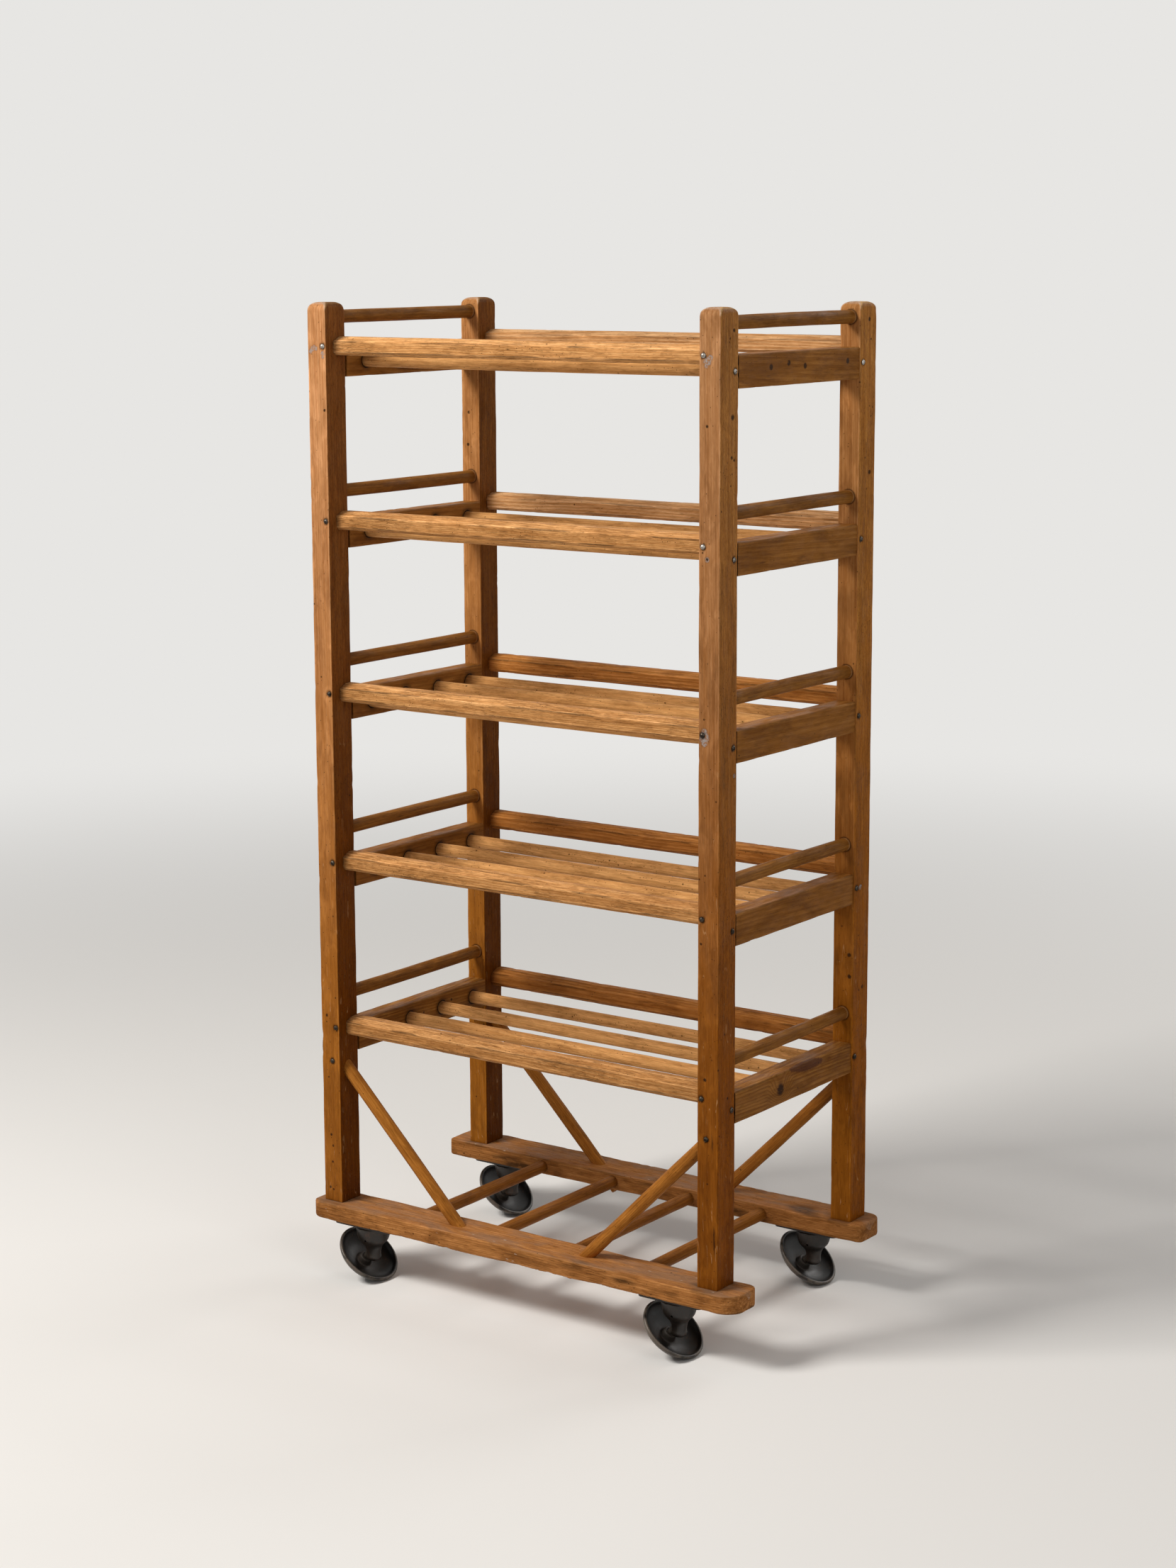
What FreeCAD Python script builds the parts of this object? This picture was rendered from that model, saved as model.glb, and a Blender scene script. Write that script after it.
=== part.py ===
"""Bakery bread rack: a rolling wooden rack with five dowel shelves on four bowl casters.

Frame of reference: millimetres, +X along the rack to the right, +Y to the back, +Z up.
The origin is on the floor, at the centre of the rack's footprint.
"""
import FreeCAD
import Part
import math
import os
from FreeCAD import Vector

os.makedirs("parts", exist_ok=True)

# ---------------------------------------------------------------- driving dimensions
CASTER_HEIGHT = 98.5          # floor to the underside of a runner
RUNNER_THICKNESS = 30.0
RUNNER_INNER_Y = 169.0        # distance of a runner's inner face from the centre plane
RUNNER_OUTER_Y = 245.0
RUNNER_FRONT_X = (-420.0, 443.0)
RUNNER_BACK_X = (-443.0, 428.0)

POST_HEIGHT = 1524.0
POST_X = 38.0                 # section of a post along X
POST_Y = 49.0                 # section of a post along Y
FRAME_HALF_X = 402.0          # centre plane to the outer side of a post
FRAME_HALF_Y = 228.0          # centre plane to the outer face of a post
POST_CROWN_X = 11.0           # rounding of a post's top, seen from the front
POST_CROWN_Y = 15.0           # rounding of a post's top, seen from the side
POST_ARRIS = 3.0
POST_TENON = (20.0, 26.0, 20.0)

# heights of the end rails' tops above the top of the runners, lowest shelf first
SHELF_TOPS = (310.0, 596.0, 883.0, 1171.0, 1453.0)
GUARD_RISES = (49.5, 48.5, 47.5, 43.5, 47.0)     # guard dowel axis above its end rails' tops
FRONT_LIFTS = (0.0, 0.0, 0.0, -1.0, 2.0)         # small differences between the long rails
BACK_LIFTS = (1.0, 5.0, 2.0, 1.0, 3.0)

END_RAIL_HEIGHT = 50.8
END_RAIL_THICKNESS = 36.0
END_RAIL_FRONT_GAP = 2.5      # open shoulder between an end rail and its front post
END_TENON_DEPTH = 20.0
END_TENON_SIDE = 7.0          # shoulder on each side of an end rail's tenon
END_TENON_Z = (-46.0, -19.0)  # tenon below the rail's top

LONG_RAIL_DEPTH = 30.0        # section of a front or back rail along Y
LONG_RAIL_Z = (-17.0, 13.0)   # its underside and top, from the end rails' tops
FRONT_RAIL_FACE_Y = -209.0
BACK_RAIL_FACE_Y = 198.0
LONG_TENON_DEPTH = 18.0
LONG_TENON_Y = (8.0, 22.0)    # tenon, back from the rail's front face
LONG_TENON_Z = (-12.0, 9.0)

DOWEL_RADIUS = 11.0
SHELF_DOWEL_Y = (-124.0, -35.0, 54.0, 143.0)
SHELF_DOWEL_DROP = 25.4       # axis below the end rails' tops
SHELF_DOWEL_HALF = 380.0
GUARD_DOWEL_X = 383.0
GUARD_DOWEL_HALF = 193.0
BASE_DOWEL_X = (-231.0, -77.0, 84.0, 232.0)
BASE_DOWEL_HALF = 189.0

BRACE_Y = 205.0
BRACE_FEET = {"front_left": -131.0, "front_right": 136.0, "back_left": -133.0, "back_right": 133.0}
BRACE_HEAD_X = 387.0          # the brace's upper end, inside the post
BRACE_TIPS = {"front_left": -21.0, "front_right": -39.0, "back_left": -41.0, "back_right": -21.0}

SCREW_RADIUS = 2.1
SCREW_HEAD_RADIUS = 4.1
SCREW_HEAD_HEIGHT = 2.6
SCREW_LENGTH = 31.0
CASTER_SCREW_LENGTH = 22.0
RAIL_SCREW_X = 371.0
RAIL_SCREW_DROP = 2.0
END_SCREW_Y = 188.0
END_SCREW_DROP = 24.5
BRACE_SCREW_X = 380.0

CASTER_X = {"front_left": -313.0, "front_right": 317.0, "back_left": -330.0, "back_right": 315.0}
CASTER_Y = 207.0
PLATE = (121.0, 66.0, 3.0)
KINGPIN_RADIUS = 6.0
WHEEL_RADIUS = 56.7
WHEEL_DEPTH = 24.0            # depth of the dished wheel's outside
WHEEL_TILT = 49.3             # elevation of the wheel's axis, degrees
WHEEL_CENTRE = (-10.0, -57.3) # rim centre from the swivel axis and the runner's underside
AXLE_RADIUS = 6.0
RUNNING = 0.06                # radial clearance of the two caster bearings
FIT = 0.05                    # radial clearance of dowels and screws in their holes

DECK = CASTER_HEIGHT + RUNNER_THICKNESS          # height of the runners' tops
POST_TOP = DECK + POST_HEIGHT
INNER_X = FRAME_HALF_X - POST_X
INNER_Y = FRAME_HALF_Y - POST_Y
SIDES = {"left": -1.0, "right": 1.0}
FACES = {"front": -1.0, "back": 1.0}


# ---------------------------------------------------------------- basic solids
def block(x0, x1, y0, y1, z0, z1):
    """Box between two corners, whichever order each pair is given in."""
    low = Vector(min(x0, x1), min(y0, y1), min(z0, z1))
    return Part.makeBox(abs(x1 - x0), abs(y1 - y0), abs(z1 - z0), low)


def rod(start, end, radius):
    """Round bar between two points."""
    span = end.sub(start)
    return Part.makeCylinder(radius, span.Length, start, span)


def prism(points, direction):
    """Straight solid on a closed polygon."""
    wire = Part.makePolygon(list(points) + [points[0]])
    return Part.Face(wire).extrude(direction)


def turned(points, curved):
    """Solid turned about Z from (radius, height) points; curved marks smooth runs of points."""
    edges = []
    index = 0
    count = len(points)
    while index < count:
        last = index + 1
        for first_point, last_point in curved:
            if first_point == index:
                last = last_point
        run = [Vector(points[k % count][0], 0.0, points[k % count][1]) for k in range(index, last + 1)]
        if len(run) == 2:
            edges.append(Part.makeLine(run[0], run[1]))
        else:
            spline = Part.BSplineCurve()
            spline.interpolate(run)
            edges.append(spline.toShape())
        index = last
    face = Part.Face(Part.Wire(edges))
    return face.revolve(Vector(0, 0, 0), Vector(0, 0, 1), 360)


def ease(shape, radius, wanted):
    """Round every straight or curved edge that the test picks."""
    edges = [edge for edge in shape.Edges if wanted(edge)]
    return shape.makeFillet(radius, edges)


def one_solid(shape):
    """The single solid inside a boolean result."""
    if len(shape.Solids) != 1:
        raise ValueError("expected one solid, found %d" % len(shape.Solids))
    return shape.Solids[0]


def save(name, solids):
    """Write one node: a single solid, or several separate ones side by side."""
    shapes = list(solids)
    result = shapes[0] if len(shapes) == 1 else Part.makeCompound(shapes)
    result.exportStep("parts/%s.step" % name)


# ---------------------------------------------------------------- screws
def screw_at(seat, direction, length=SCREW_LENGTH):
    """Slotted round-head wood screw: its head sits on the seat, its shank runs along direction."""
    height = SCREW_HEAD_HEIGHT
    radius = SCREW_HEAD_RADIUS
    ball = (radius * radius + height * height) / (2.0 * height)
    dome = Part.makeSphere(ball, Vector(0, 0, height - ball))
    head = dome.common(Part.makeCylinder(radius, height))
    slot = Part.makeBox(2.4 * radius, 1.1, 1.2, Vector(-1.2 * radius, -0.55, height - 1.0))
    shank = Part.makeCylinder(SCREW_RADIUS, length - 5.0, Vector(0, 0, 5.0 - length))
    point = Part.makeCone(0.5, SCREW_RADIUS, 5.0, Vector(0, 0, -length))
    screw = head.cut(slot).fuse(shank).fuse(point).removeSplitter()
    turn = FreeCAD.Rotation(Vector(0, 0, -1), direction)
    screw.Placement = FreeCAD.Placement(seat, turn)
    return screw


def screw_hole(seat, direction, length=SCREW_LENGTH):
    """Hole that clears one screw's shank; direction is a unit vector into the wood."""
    start = seat - direction
    end = seat + direction * (length + 0.5)
    return rod(start, end, SCREW_RADIUS + FIT)


def rail_screw_seat(side, face, level):
    """Seat of the screw that pins a long rail's tenon, on the post's outer face."""
    lift = FRONT_LIFTS[level] if face < 0 else BACK_LIFTS[level]
    height = DECK + SHELF_TOPS[level] + lift - RAIL_SCREW_DROP
    return Vector(side * RAIL_SCREW_X, face * FRAME_HALF_Y, height)


def end_screw_seat(side, face, level):
    """Seat of the screw that pins an end rail's tenon, on the post's outer side."""
    height = DECK + SHELF_TOPS[level] - END_SCREW_DROP
    return Vector(side * FRAME_HALF_X, face * END_SCREW_Y, height)


def brace_axis(corner):
    """Lower and upper end of a brace's axis: 45 degrees, from the runner up to the post."""
    side = SIDES[corner.split("_")[1]]
    face = FACES[corner.split("_")[0]]
    foot = BRACE_FEET[corner]
    tip = BRACE_TIPS[corner]
    rise = BRACE_HEAD_X - abs(foot)
    low = Vector(foot + side * tip, face * BRACE_Y, DECK + tip)
    high = Vector(foot + side * rise, face * BRACE_Y, DECK + rise)
    return low, high


def brace_screw_seat(corner):
    """Seat of the screw that pins a brace's upper end."""
    side = SIDES[corner.split("_")[1]]
    face = FACES[corner.split("_")[0]]
    height = DECK + BRACE_SCREW_X - abs(BRACE_FEET[corner])
    return Vector(side * BRACE_SCREW_X, face * FRAME_HALF_Y, height)


# ---------------------------------------------------------------- tenons and mortises
def long_tenon(side, face, level, play):
    """Stub tenon of a front or back rail; play widens it into the post's mortise."""
    base = FRONT_RAIL_FACE_Y if face < 0 else BACK_RAIL_FACE_Y
    lift = FRONT_LIFTS[level] if face < 0 else BACK_LIFTS[level]
    height = DECK + SHELF_TOPS[level] + lift
    return block(side * (INNER_X - 2.0), side * (INNER_X + LONG_TENON_DEPTH + 3.0 * play),
                 base + LONG_TENON_Y[0] - play, base + LONG_TENON_Y[1] + play,
                 height + LONG_TENON_Z[0] - play, height + LONG_TENON_Z[1] + play)


def end_tenon(side, face, level, play):
    """Stub tenon of an end rail; play widens it into the post's mortise."""
    height = DECK + SHELF_TOPS[level]
    near = INNER_X + END_TENON_SIDE - play
    far = INNER_X + END_RAIL_THICKNESS - END_TENON_SIDE + play
    return block(side * near, side * far,
                 face * (INNER_Y - 6.0), face * (INNER_Y + END_TENON_DEPTH + 3.0 * play),
                 height + END_TENON_Z[0] - play, height + END_TENON_Z[1] + play)


def post_tenon(side, face, play):
    """Square tenon under a post, let into the runner."""
    x = side * (FRAME_HALF_X - POST_X / 2.0)
    y = face * (FRAME_HALF_Y - POST_Y / 2.0)
    half_x = POST_TENON[0] / 2.0 + play
    half_y = POST_TENON[1] / 2.0 + play
    return block(x - half_x, x + half_x, y - half_y, y + half_y,
                 DECK - POST_TENON[2] - 3.0 * play, DECK + 4.0)


# ---------------------------------------------------------------- runners
def runner(face, span, corner_radii):
    """Base runner with rounded ends, mortised for two posts and bored for dowels and braces."""
    body = block(span[0], span[1], face * RUNNER_INNER_Y, face * RUNNER_OUTER_Y, CASTER_HEIGHT, DECK)
    for (end, edge_y), radius in corner_radii.items():
        x = span[end]
        y = face * (RUNNER_OUTER_Y if edge_y == "outer" else RUNNER_INNER_Y)

        def at_corner(edge):
            low = edge.BoundBox
            upright = low.ZLength > 10.0 and low.XLength < 0.1 and low.YLength < 0.1
            return upright and abs(low.Center.x - x) < 0.5 and abs(low.Center.y - y) < 0.5

        body = ease(body, radius, at_corner)
    body = ease(body, 2.5, lambda edge: edge.BoundBox.ZLength < 0.1)
    for side in SIDES.values():
        body = body.cut(post_tenon(side, face, 0.1))
    for x in BASE_DOWEL_X:
        start = Vector(x, face * (RUNNER_INNER_Y - 5.0), DECK - RUNNER_THICKNESS / 2.0)
        end = Vector(x, face * BASE_DOWEL_HALF, DECK - RUNNER_THICKNESS / 2.0)
        body = body.cut(rod(start, end, DOWEL_RADIUS + FIT))
    for corner in BRACE_FEET:
        if FACES[corner.split("_")[0]] == face:
            low, high = brace_axis(corner)
            body = body.cut(rod(low, high, DOWEL_RADIUS + FIT))
            for seat in plate_screw_seats(corner):
                body = body.cut(screw_hole(seat, Vector(0, 0, 1), CASTER_SCREW_LENGTH))
    return one_solid(body)


# ---------------------------------------------------------------- posts
def crowned_outline(half, low, high, crown, foot):
    """Wire of an upright rectangle (u, z) with rounded top corners and slightly eased feet."""
    bend_top = crown * (1.0 - math.sqrt(0.5))
    bend_low = foot * (1.0 - math.sqrt(0.5))
    return (((-half + foot, low), (half - foot, low)),
            ((half - foot, low), (half - bend_low, low + bend_low), (half, low + foot)),
            ((half, low + foot), (half, high - crown)),
            ((half, high - crown), (half - bend_top, high - bend_top), (half - crown, high)),
            ((half - crown, high), (-half + crown, high)),
            ((-half + crown, high), (-half + bend_top, high - bend_top), (-half, high - crown)),
            ((-half, high - crown), (-half, low + foot)),
            ((-half, low + foot), (-half + bend_low, low + bend_low), (-half + foot, low)))


def outline_face(runs, place):
    """Planar face from straight and three-point runs, placed by a function of (u, v)."""
    edges = []
    for run in runs:
        spots = [place(u, v) for u, v in run]
        if len(spots) == 2:
            edges.append(Part.makeLine(spots[0], spots[1]))
        else:
            edges.append(Part.Arc(spots[0], spots[1], spots[2]).toShape())
    return Part.Face(Part.Wire(edges))


def post_blank(x, y):
    """Post centred on (x, y): a front outline, a side outline and a plan outline in common."""
    front = crowned_outline(POST_X / 2.0, DECK, POST_TOP, POST_CROWN_X, 2.0)
    side = crowned_outline(POST_Y / 2.0, DECK, POST_TOP, POST_CROWN_Y, 2.0)
    plan = crowned_outline(POST_X / 2.0, -POST_Y / 2.0, POST_Y / 2.0, POST_ARRIS, POST_ARRIS)
    from_front = outline_face(front, lambda u, v: Vector(x + u, y - POST_Y, v))
    from_side = outline_face(side, lambda u, v: Vector(x - POST_X, y + u, v))
    from_top = outline_face(plan, lambda u, v: Vector(x + u, y + v, DECK - 10.0))
    body = from_front.extrude(Vector(0, 2.0 * POST_Y, 0))
    body = body.common(from_side.extrude(Vector(2.0 * POST_X, 0, 0)))
    return body.common(from_top.extrude(Vector(0, 0, POST_HEIGHT + 20.0)))


def post(side, face):
    """Corner post with its foot tenon, its rail mortises, its dowel holes and its screw holes."""
    x = side * (FRAME_HALF_X - POST_X / 2.0)
    y = face * (FRAME_HALF_Y - POST_Y / 2.0)
    body = post_blank(x, y).fuse(post_tenon(side, face, 0.0))
    side_name = "left" if side < 0 else "right"
    face_name = "front" if face < 0 else "back"
    cutters = []
    for level, top in enumerate(SHELF_TOPS):
        height = DECK + top + GUARD_RISES[level]
        cutters.append(long_tenon(side, face, level, 0.1))
        cutters.append(end_tenon(side, face, level, 0.1))
        cutters.append(rod(Vector(side * GUARD_DOWEL_X, 0, height),
                           Vector(side * GUARD_DOWEL_X, face * GUARD_DOWEL_HALF, height),
                           DOWEL_RADIUS + FIT))
        cutters.append(screw_hole(rail_screw_seat(side, face, level), Vector(0, -face, 0)))
        cutters.append(screw_hole(end_screw_seat(side, face, level), Vector(-side, 0, 0)))
    corner = face_name + "_" + side_name
    low, high = brace_axis(corner)
    cutters.append(rod(low, high, DOWEL_RADIUS + FIT))
    cutters.append(screw_hole(brace_screw_seat(corner), Vector(0, -face, 0)))
    return one_solid(body.cut(Part.makeCompound(cutters)).removeSplitter())


# ---------------------------------------------------------------- rails
def long_rail(face, level):
    """Front or back rail: a bar with a bevelled top front arris, tenoned into two posts."""
    base = FRONT_RAIL_FACE_Y if face < 0 else BACK_RAIL_FACE_Y
    lift = FRONT_LIFTS[level] if face < 0 else BACK_LIFTS[level]
    height = DECK + SHELF_TOPS[level] + lift
    bottom = height + LONG_RAIL_Z[0]
    top = height + LONG_RAIL_Z[1]
    outline = ((0.0, bottom + 5.0), (0.0, top - 7.0), (15.0, top), (LONG_RAIL_DEPTH, top),
               (LONG_RAIL_DEPTH, bottom), (5.0, bottom))
    body = prism([Vector(-INNER_X, base + y, z) for y, z in outline], Vector(2.0 * INNER_X, 0, 0))
    body = ease(body, 2.0, lambda edge: edge.BoundBox.XLength > INNER_X)
    for side in SIDES.values():
        body = body.fuse(long_tenon(side, face, level, 0.0))
    for side in SIDES.values():
        body = body.cut(screw_hole(rail_screw_seat(side, face, level), Vector(0, -face, 0)))
    return one_solid(body)


def end_rail(side, level):
    """End rail between a front and a back post, bored for the shelf's dowels."""
    top = DECK + SHELF_TOPS[level]
    body = block(side * INNER_X, side * (INNER_X + END_RAIL_THICKNESS),
                 END_RAIL_FRONT_GAP - INNER_Y, INNER_Y, top - END_RAIL_HEIGHT, top)
    body = ease(body, 3.0, lambda edge: edge.BoundBox.YLength > INNER_Y)
    for face in FACES.values():
        body = body.fuse(end_tenon(side, face, level, 0.0))
        body = body.cut(screw_hole(end_screw_seat(side, face, level), Vector(-side, 0, 0)))
    for y in SHELF_DOWEL_Y:
        body = body.cut(rod(Vector(0, y, top - SHELF_DOWEL_DROP),
                            Vector(side * SHELF_DOWEL_HALF, y, top - SHELF_DOWEL_DROP),
                            DOWEL_RADIUS + FIT))
    return one_solid(body)


# ---------------------------------------------------------------- dowels
def shelf_dowels(level):
    """The four round bars that carry the bread on one shelf."""
    height = DECK + SHELF_TOPS[level] - SHELF_DOWEL_DROP
    return [rod(Vector(-SHELF_DOWEL_HALF, y, height), Vector(SHELF_DOWEL_HALF, y, height), DOWEL_RADIUS)
            for y in SHELF_DOWEL_Y]


def guard_dowels(level):
    """The two round bars that close the ends of one shelf."""
    height = DECK + SHELF_TOPS[level] + GUARD_RISES[level]
    return [rod(Vector(side * GUARD_DOWEL_X, -GUARD_DOWEL_HALF, height),
                Vector(side * GUARD_DOWEL_X, GUARD_DOWEL_HALF, height), DOWEL_RADIUS)
            for side in SIDES.values()]


def base_dowels():
    """The four round bars that tie the runners together."""
    height = DECK - RUNNER_THICKNESS / 2.0
    return [rod(Vector(x, -BASE_DOWEL_HALF, height), Vector(x, BASE_DOWEL_HALF, height), DOWEL_RADIUS)
            for x in BASE_DOWEL_X]


def brace(corner):
    """Slanted round bar from a runner into a post, with the hole for its screw."""
    low, high = brace_axis(corner)
    face = FACES[corner.split("_")[0]]
    body = rod(low, high, DOWEL_RADIUS)
    return one_solid(body.cut(screw_hole(brace_screw_seat(corner), Vector(0, -face, 0))))


# ---------------------------------------------------------------- casters
def caster_origin(corner):
    """Point on the swivel axis at the underside of the runner."""
    face = FACES[corner.split("_")[0]]
    return Vector(CASTER_X[corner], face * CASTER_Y, CASTER_HEIGHT)


def tilted(shape, corner):
    """Put a shape turned about Z onto the wheel's slanted axis, its origin at the rim's centre."""
    origin = caster_origin(corner)
    spot = origin.add(Vector(WHEEL_CENTRE[0], 0, WHEEL_CENTRE[1]))
    shape.Placement = FreeCAD.Placement(spot, FreeCAD.Rotation(Vector(0, 1, 0), 90.0 - WHEEL_TILT))
    return shape


def plate_screw_seats(corner):
    """Seats of the four screws through a caster's plate."""
    origin = caster_origin(corner)
    return [origin.add(Vector(u * 50.0, v * 23.0, -PLATE[2])) for u in (-1, 1) for v in (-1, 1)]


def caster_plate(corner):
    """Top plate with rounded corners, four screw holes and the riveted kingpin."""
    origin = caster_origin(corner)
    half_x = PLATE[0] / 2.0
    half_y = PLATE[1] / 2.0
    body = block(origin.x - half_x, origin.x + half_x, origin.y - half_y, origin.y + half_y,
                 origin.z - PLATE[2], origin.z)
    body = ease(body, 9.0, lambda edge: edge.BoundBox.ZLength > 1.0)
    for seat in plate_screw_seats(corner):
        body = body.cut(screw_hole(seat, Vector(0, 0, 1), CASTER_SCREW_LENGTH))
    kingpin = rod(origin.sub(Vector(0, 0, PLATE[2] - 0.5)), origin.sub(Vector(0, 0, 21.0)), KINGPIN_RADIUS)
    rivet = rod(origin.sub(Vector(0, 0, 21.0)), origin.sub(Vector(0, 0, 25.0)), KINGPIN_RADIUS + 3.0)
    race = rod(origin.sub(Vector(0, 0, PLATE[2] - 0.5)), origin.sub(Vector(0, 0, PLATE[2] + 1.0)), 12.0)
    return one_solid(body.fuse(race).fuse(kingpin).fuse(rivet).removeSplitter())


def caster_swivel(corner):
    """Funnel-shaped swivel body: it hangs on the kingpin and holds the slanted axle."""
    bore = KINGPIN_RADIUS + RUNNING
    outline = ((bore, -4.3), (27.0, -4.3), (30.0, -7.3), (28.5, -18.0), (26.5, -26.5), (22.0, -34.0),
               (15.5, -41.5), (13.0, -48.0), (12.6, -60.0), (12.2, -63.5), (10.4, -66.3), (7.5, -67.5),
               (0.0, -67.5), (0.0, -26.0), (9.6, -26.0), (9.6, -20.4), (bore, -20.4))
    body = turned(outline, ((2, 4), (4, 8), (8, 11)))
    body.Placement = FreeCAD.Placement(caster_origin(corner), FreeCAD.Rotation())
    start = Vector(0, 0, -40.0)
    end = Vector(0, 0, 23.0)
    body = body.cut(tilted(rod(start, end, AXLE_RADIUS + FIT), corner))
    oil_hole = rod(Vector(3.0, -40.0, -27.0), Vector(3.0, -22.0, -27.0), 2.2)
    oil_hole.Placement = FreeCAD.Placement(caster_origin(corner), FreeCAD.Rotation())
    return one_solid(body.cut(oil_hole))


def caster_axle(corner):
    """Axle pin with its domed rivet head outside the wheel's hub."""
    pin = rod(Vector(0, 0, -25.0), Vector(0, 0, 23.0), AXLE_RADIUS)
    head = turned(((0.0, -27.6), (5.5, -27.2), (9.0, -25.4), (9.0, -24.0), (0.0, -24.0)), ((0, 2),))
    return tilted(one_solid(pin.fuse(head).removeSplitter()), corner)


def caster_wheel(corner):
    """Dished wheel: a half-ellipsoid shell with a rounded lip and a raised hub inside."""
    bore = AXLE_RADIUS + RUNNING
    outside = []
    for step in range(13):
        angle = math.radians(12.5 + step * (84.0 - 12.5) / 12.0)
        outside.append((WHEEL_RADIUS * math.sin(angle), -WHEEL_DEPTH * math.cos(angle)))
    lip = [(55.9, -0.7), (54.0, 0.0), (52.6, -0.1), (51.2, -1.0)]
    inside = []
    for step in range(11):
        angle = math.radians(82.0 - step * (82.0 - 16.0) / 10.0)
        inside.append((50.9 * math.sin(angle), -19.6 * math.cos(angle) - 0.4))
    hub = [(13.0, -17.6), (11.0, -10.5), (10.0, -9.0)]
    outline = [(bore, outside[0][1])] + outside + lip + inside + hub + [(bore, -9.0)]
    rim_end = 1 + len(outside) - 1
    lip_end = rim_end + len(lip)
    bowl_end = lip_end + len(inside)
    wheel = turned(outline, ((1, rim_end), (rim_end, lip_end), (lip_end, bowl_end)))
    return tilted(one_solid(wheel), corner)


# ---------------------------------------------------------------- the rack
CORNERS = [face + "_" + side for face in FACES for side in SIDES]

save("runner_front", [runner(-1.0, RUNNER_FRONT_X, {(0, "outer"): 15.0, (0, "inner"): 12.0,
                                                    (1, "outer"): 34.0, (1, "inner"): 18.0})])
save("runner_back", [runner(1.0, RUNNER_BACK_X, {(0, "outer"): 16.0, (0, "inner"): 8.0,
                                                 (1, "outer"): 26.0, (1, "inner"): 12.0})])
save("base_dowels", base_dowels())

for corner in CORNERS:
    face_name, side_name = corner.split("_")
    save("post_" + corner, [post(SIDES[side_name], FACES[face_name])])
    save("brace_" + corner, [brace(corner)])
    save("caster_plate_" + corner, [caster_plate(corner)])
    save("caster_swivel_" + corner, [caster_swivel(corner)])
    save("caster_axle_" + corner, [caster_axle(corner)])
    save("caster_wheel_" + corner, [caster_wheel(corner)])

for level in range(len(SHELF_TOPS)):
    number = level + 1
    save("front_rail_%d" % number, [long_rail(-1.0, level)])
    save("back_rail_%d" % number, [long_rail(1.0, level)])
    save("end_rail_left_%d" % number, [end_rail(-1.0, level)])
    save("end_rail_right_%d" % number, [end_rail(1.0, level)])
    save("shelf_dowels_%d" % number, shelf_dowels(level))
    save("guard_dowels_%d" % number, guard_dowels(level))

frame_screws = []
for side in SIDES.values():
    for face in FACES.values():
        for level in range(len(SHELF_TOPS)):
            frame_screws.append(screw_at(rail_screw_seat(side, face, level), Vector(0, -face, 0)))
            frame_screws.append(screw_at(end_screw_seat(side, face, level), Vector(-side, 0, 0)))
for corner in CORNERS:
    inward = Vector(0, -FACES[corner.split("_")[0]], 0)
    frame_screws.append(screw_at(brace_screw_seat(corner), inward))
save("frame_screws", frame_screws)

caster_screws = []
for corner in CORNERS:
    for seat in plate_screw_seats(corner):
        caster_screws.append(screw_at(seat, Vector(0, 0, 1), CASTER_SCREW_LENGTH))
save("caster_screws", caster_screws)
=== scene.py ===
"""Looks of the bakery bread rack: worn rails and dowels, honey posts, steel screws and dished casters.

Everything is in metres: +X along the rack to the right, +Y to the back, +Z up, origin on the floor.
"""
import math

import bpy
import numpy as np
from mathutils import Matrix


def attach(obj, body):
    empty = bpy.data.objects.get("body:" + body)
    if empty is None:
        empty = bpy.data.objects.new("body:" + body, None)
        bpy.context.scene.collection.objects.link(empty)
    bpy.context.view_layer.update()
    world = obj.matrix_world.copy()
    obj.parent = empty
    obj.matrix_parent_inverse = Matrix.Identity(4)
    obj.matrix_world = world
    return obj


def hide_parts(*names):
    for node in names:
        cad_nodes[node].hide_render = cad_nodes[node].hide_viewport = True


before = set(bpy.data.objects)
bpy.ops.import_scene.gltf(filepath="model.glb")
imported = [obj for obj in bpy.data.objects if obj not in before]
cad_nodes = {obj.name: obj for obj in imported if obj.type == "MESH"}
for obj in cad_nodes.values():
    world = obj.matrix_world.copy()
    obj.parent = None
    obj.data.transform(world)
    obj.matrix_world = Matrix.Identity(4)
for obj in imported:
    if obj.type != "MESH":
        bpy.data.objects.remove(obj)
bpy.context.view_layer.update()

# ------------------------------------------------------------------ sizes of the rack, in metres
DECK, RUNNER_UNDER = 0.1285, 0.0985         # top and underside of the runners
RUNNER_INNER_Y, RUNNER_OUTER_Y = 0.169, 0.245
POST_TOP = 1.6525
POST_X, POST_Y = 0.038, 0.049
HALF_X, HALF_Y = 0.402, 0.228               # the posts' outer faces
INNER_X, INNER_Y = 0.364, 0.179             # their inner faces
SHELF_TOPS = (0.310, 0.596, 0.883, 1.171, 1.453)
GUARD_RISES = (0.0495, 0.0485, 0.0475, 0.0435, 0.0470)
FRONT_LIFTS = (0.0, 0.0, 0.0, -0.001, 0.002)
BACK_LIFTS = (0.001, 0.005, 0.002, 0.001, 0.003)
FRONT_RAIL_FACE_Y, BACK_RAIL_FACE_Y = -0.209, 0.198
RAIL_DEPTH, RAIL_UNDER, RAIL_OVER = 0.030, -0.017, 0.013
END_RAIL_HEIGHT, END_RAIL_THICKNESS = 0.0508, 0.036
END_RAIL_FRONT_Y, END_RAIL_OUTER_X = -0.1752, 0.400
DOWEL = 0.011                               # radius of every dowel and brace
SHELF_DOWEL_Y = (-0.124, -0.035, 0.054, 0.143)
SHELF_DOWEL_DROP, SHELF_DOWEL_PITCH, SHELF_DOWEL_HALF = 0.0254, 0.089, 0.380
GUARD_DOWEL_X, GUARD_DOWEL_HALF = 0.383, 0.193     # X is also the middle of the posts
BASE_DOWEL_X = (-0.231, -0.077, 0.084, 0.232)
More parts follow.
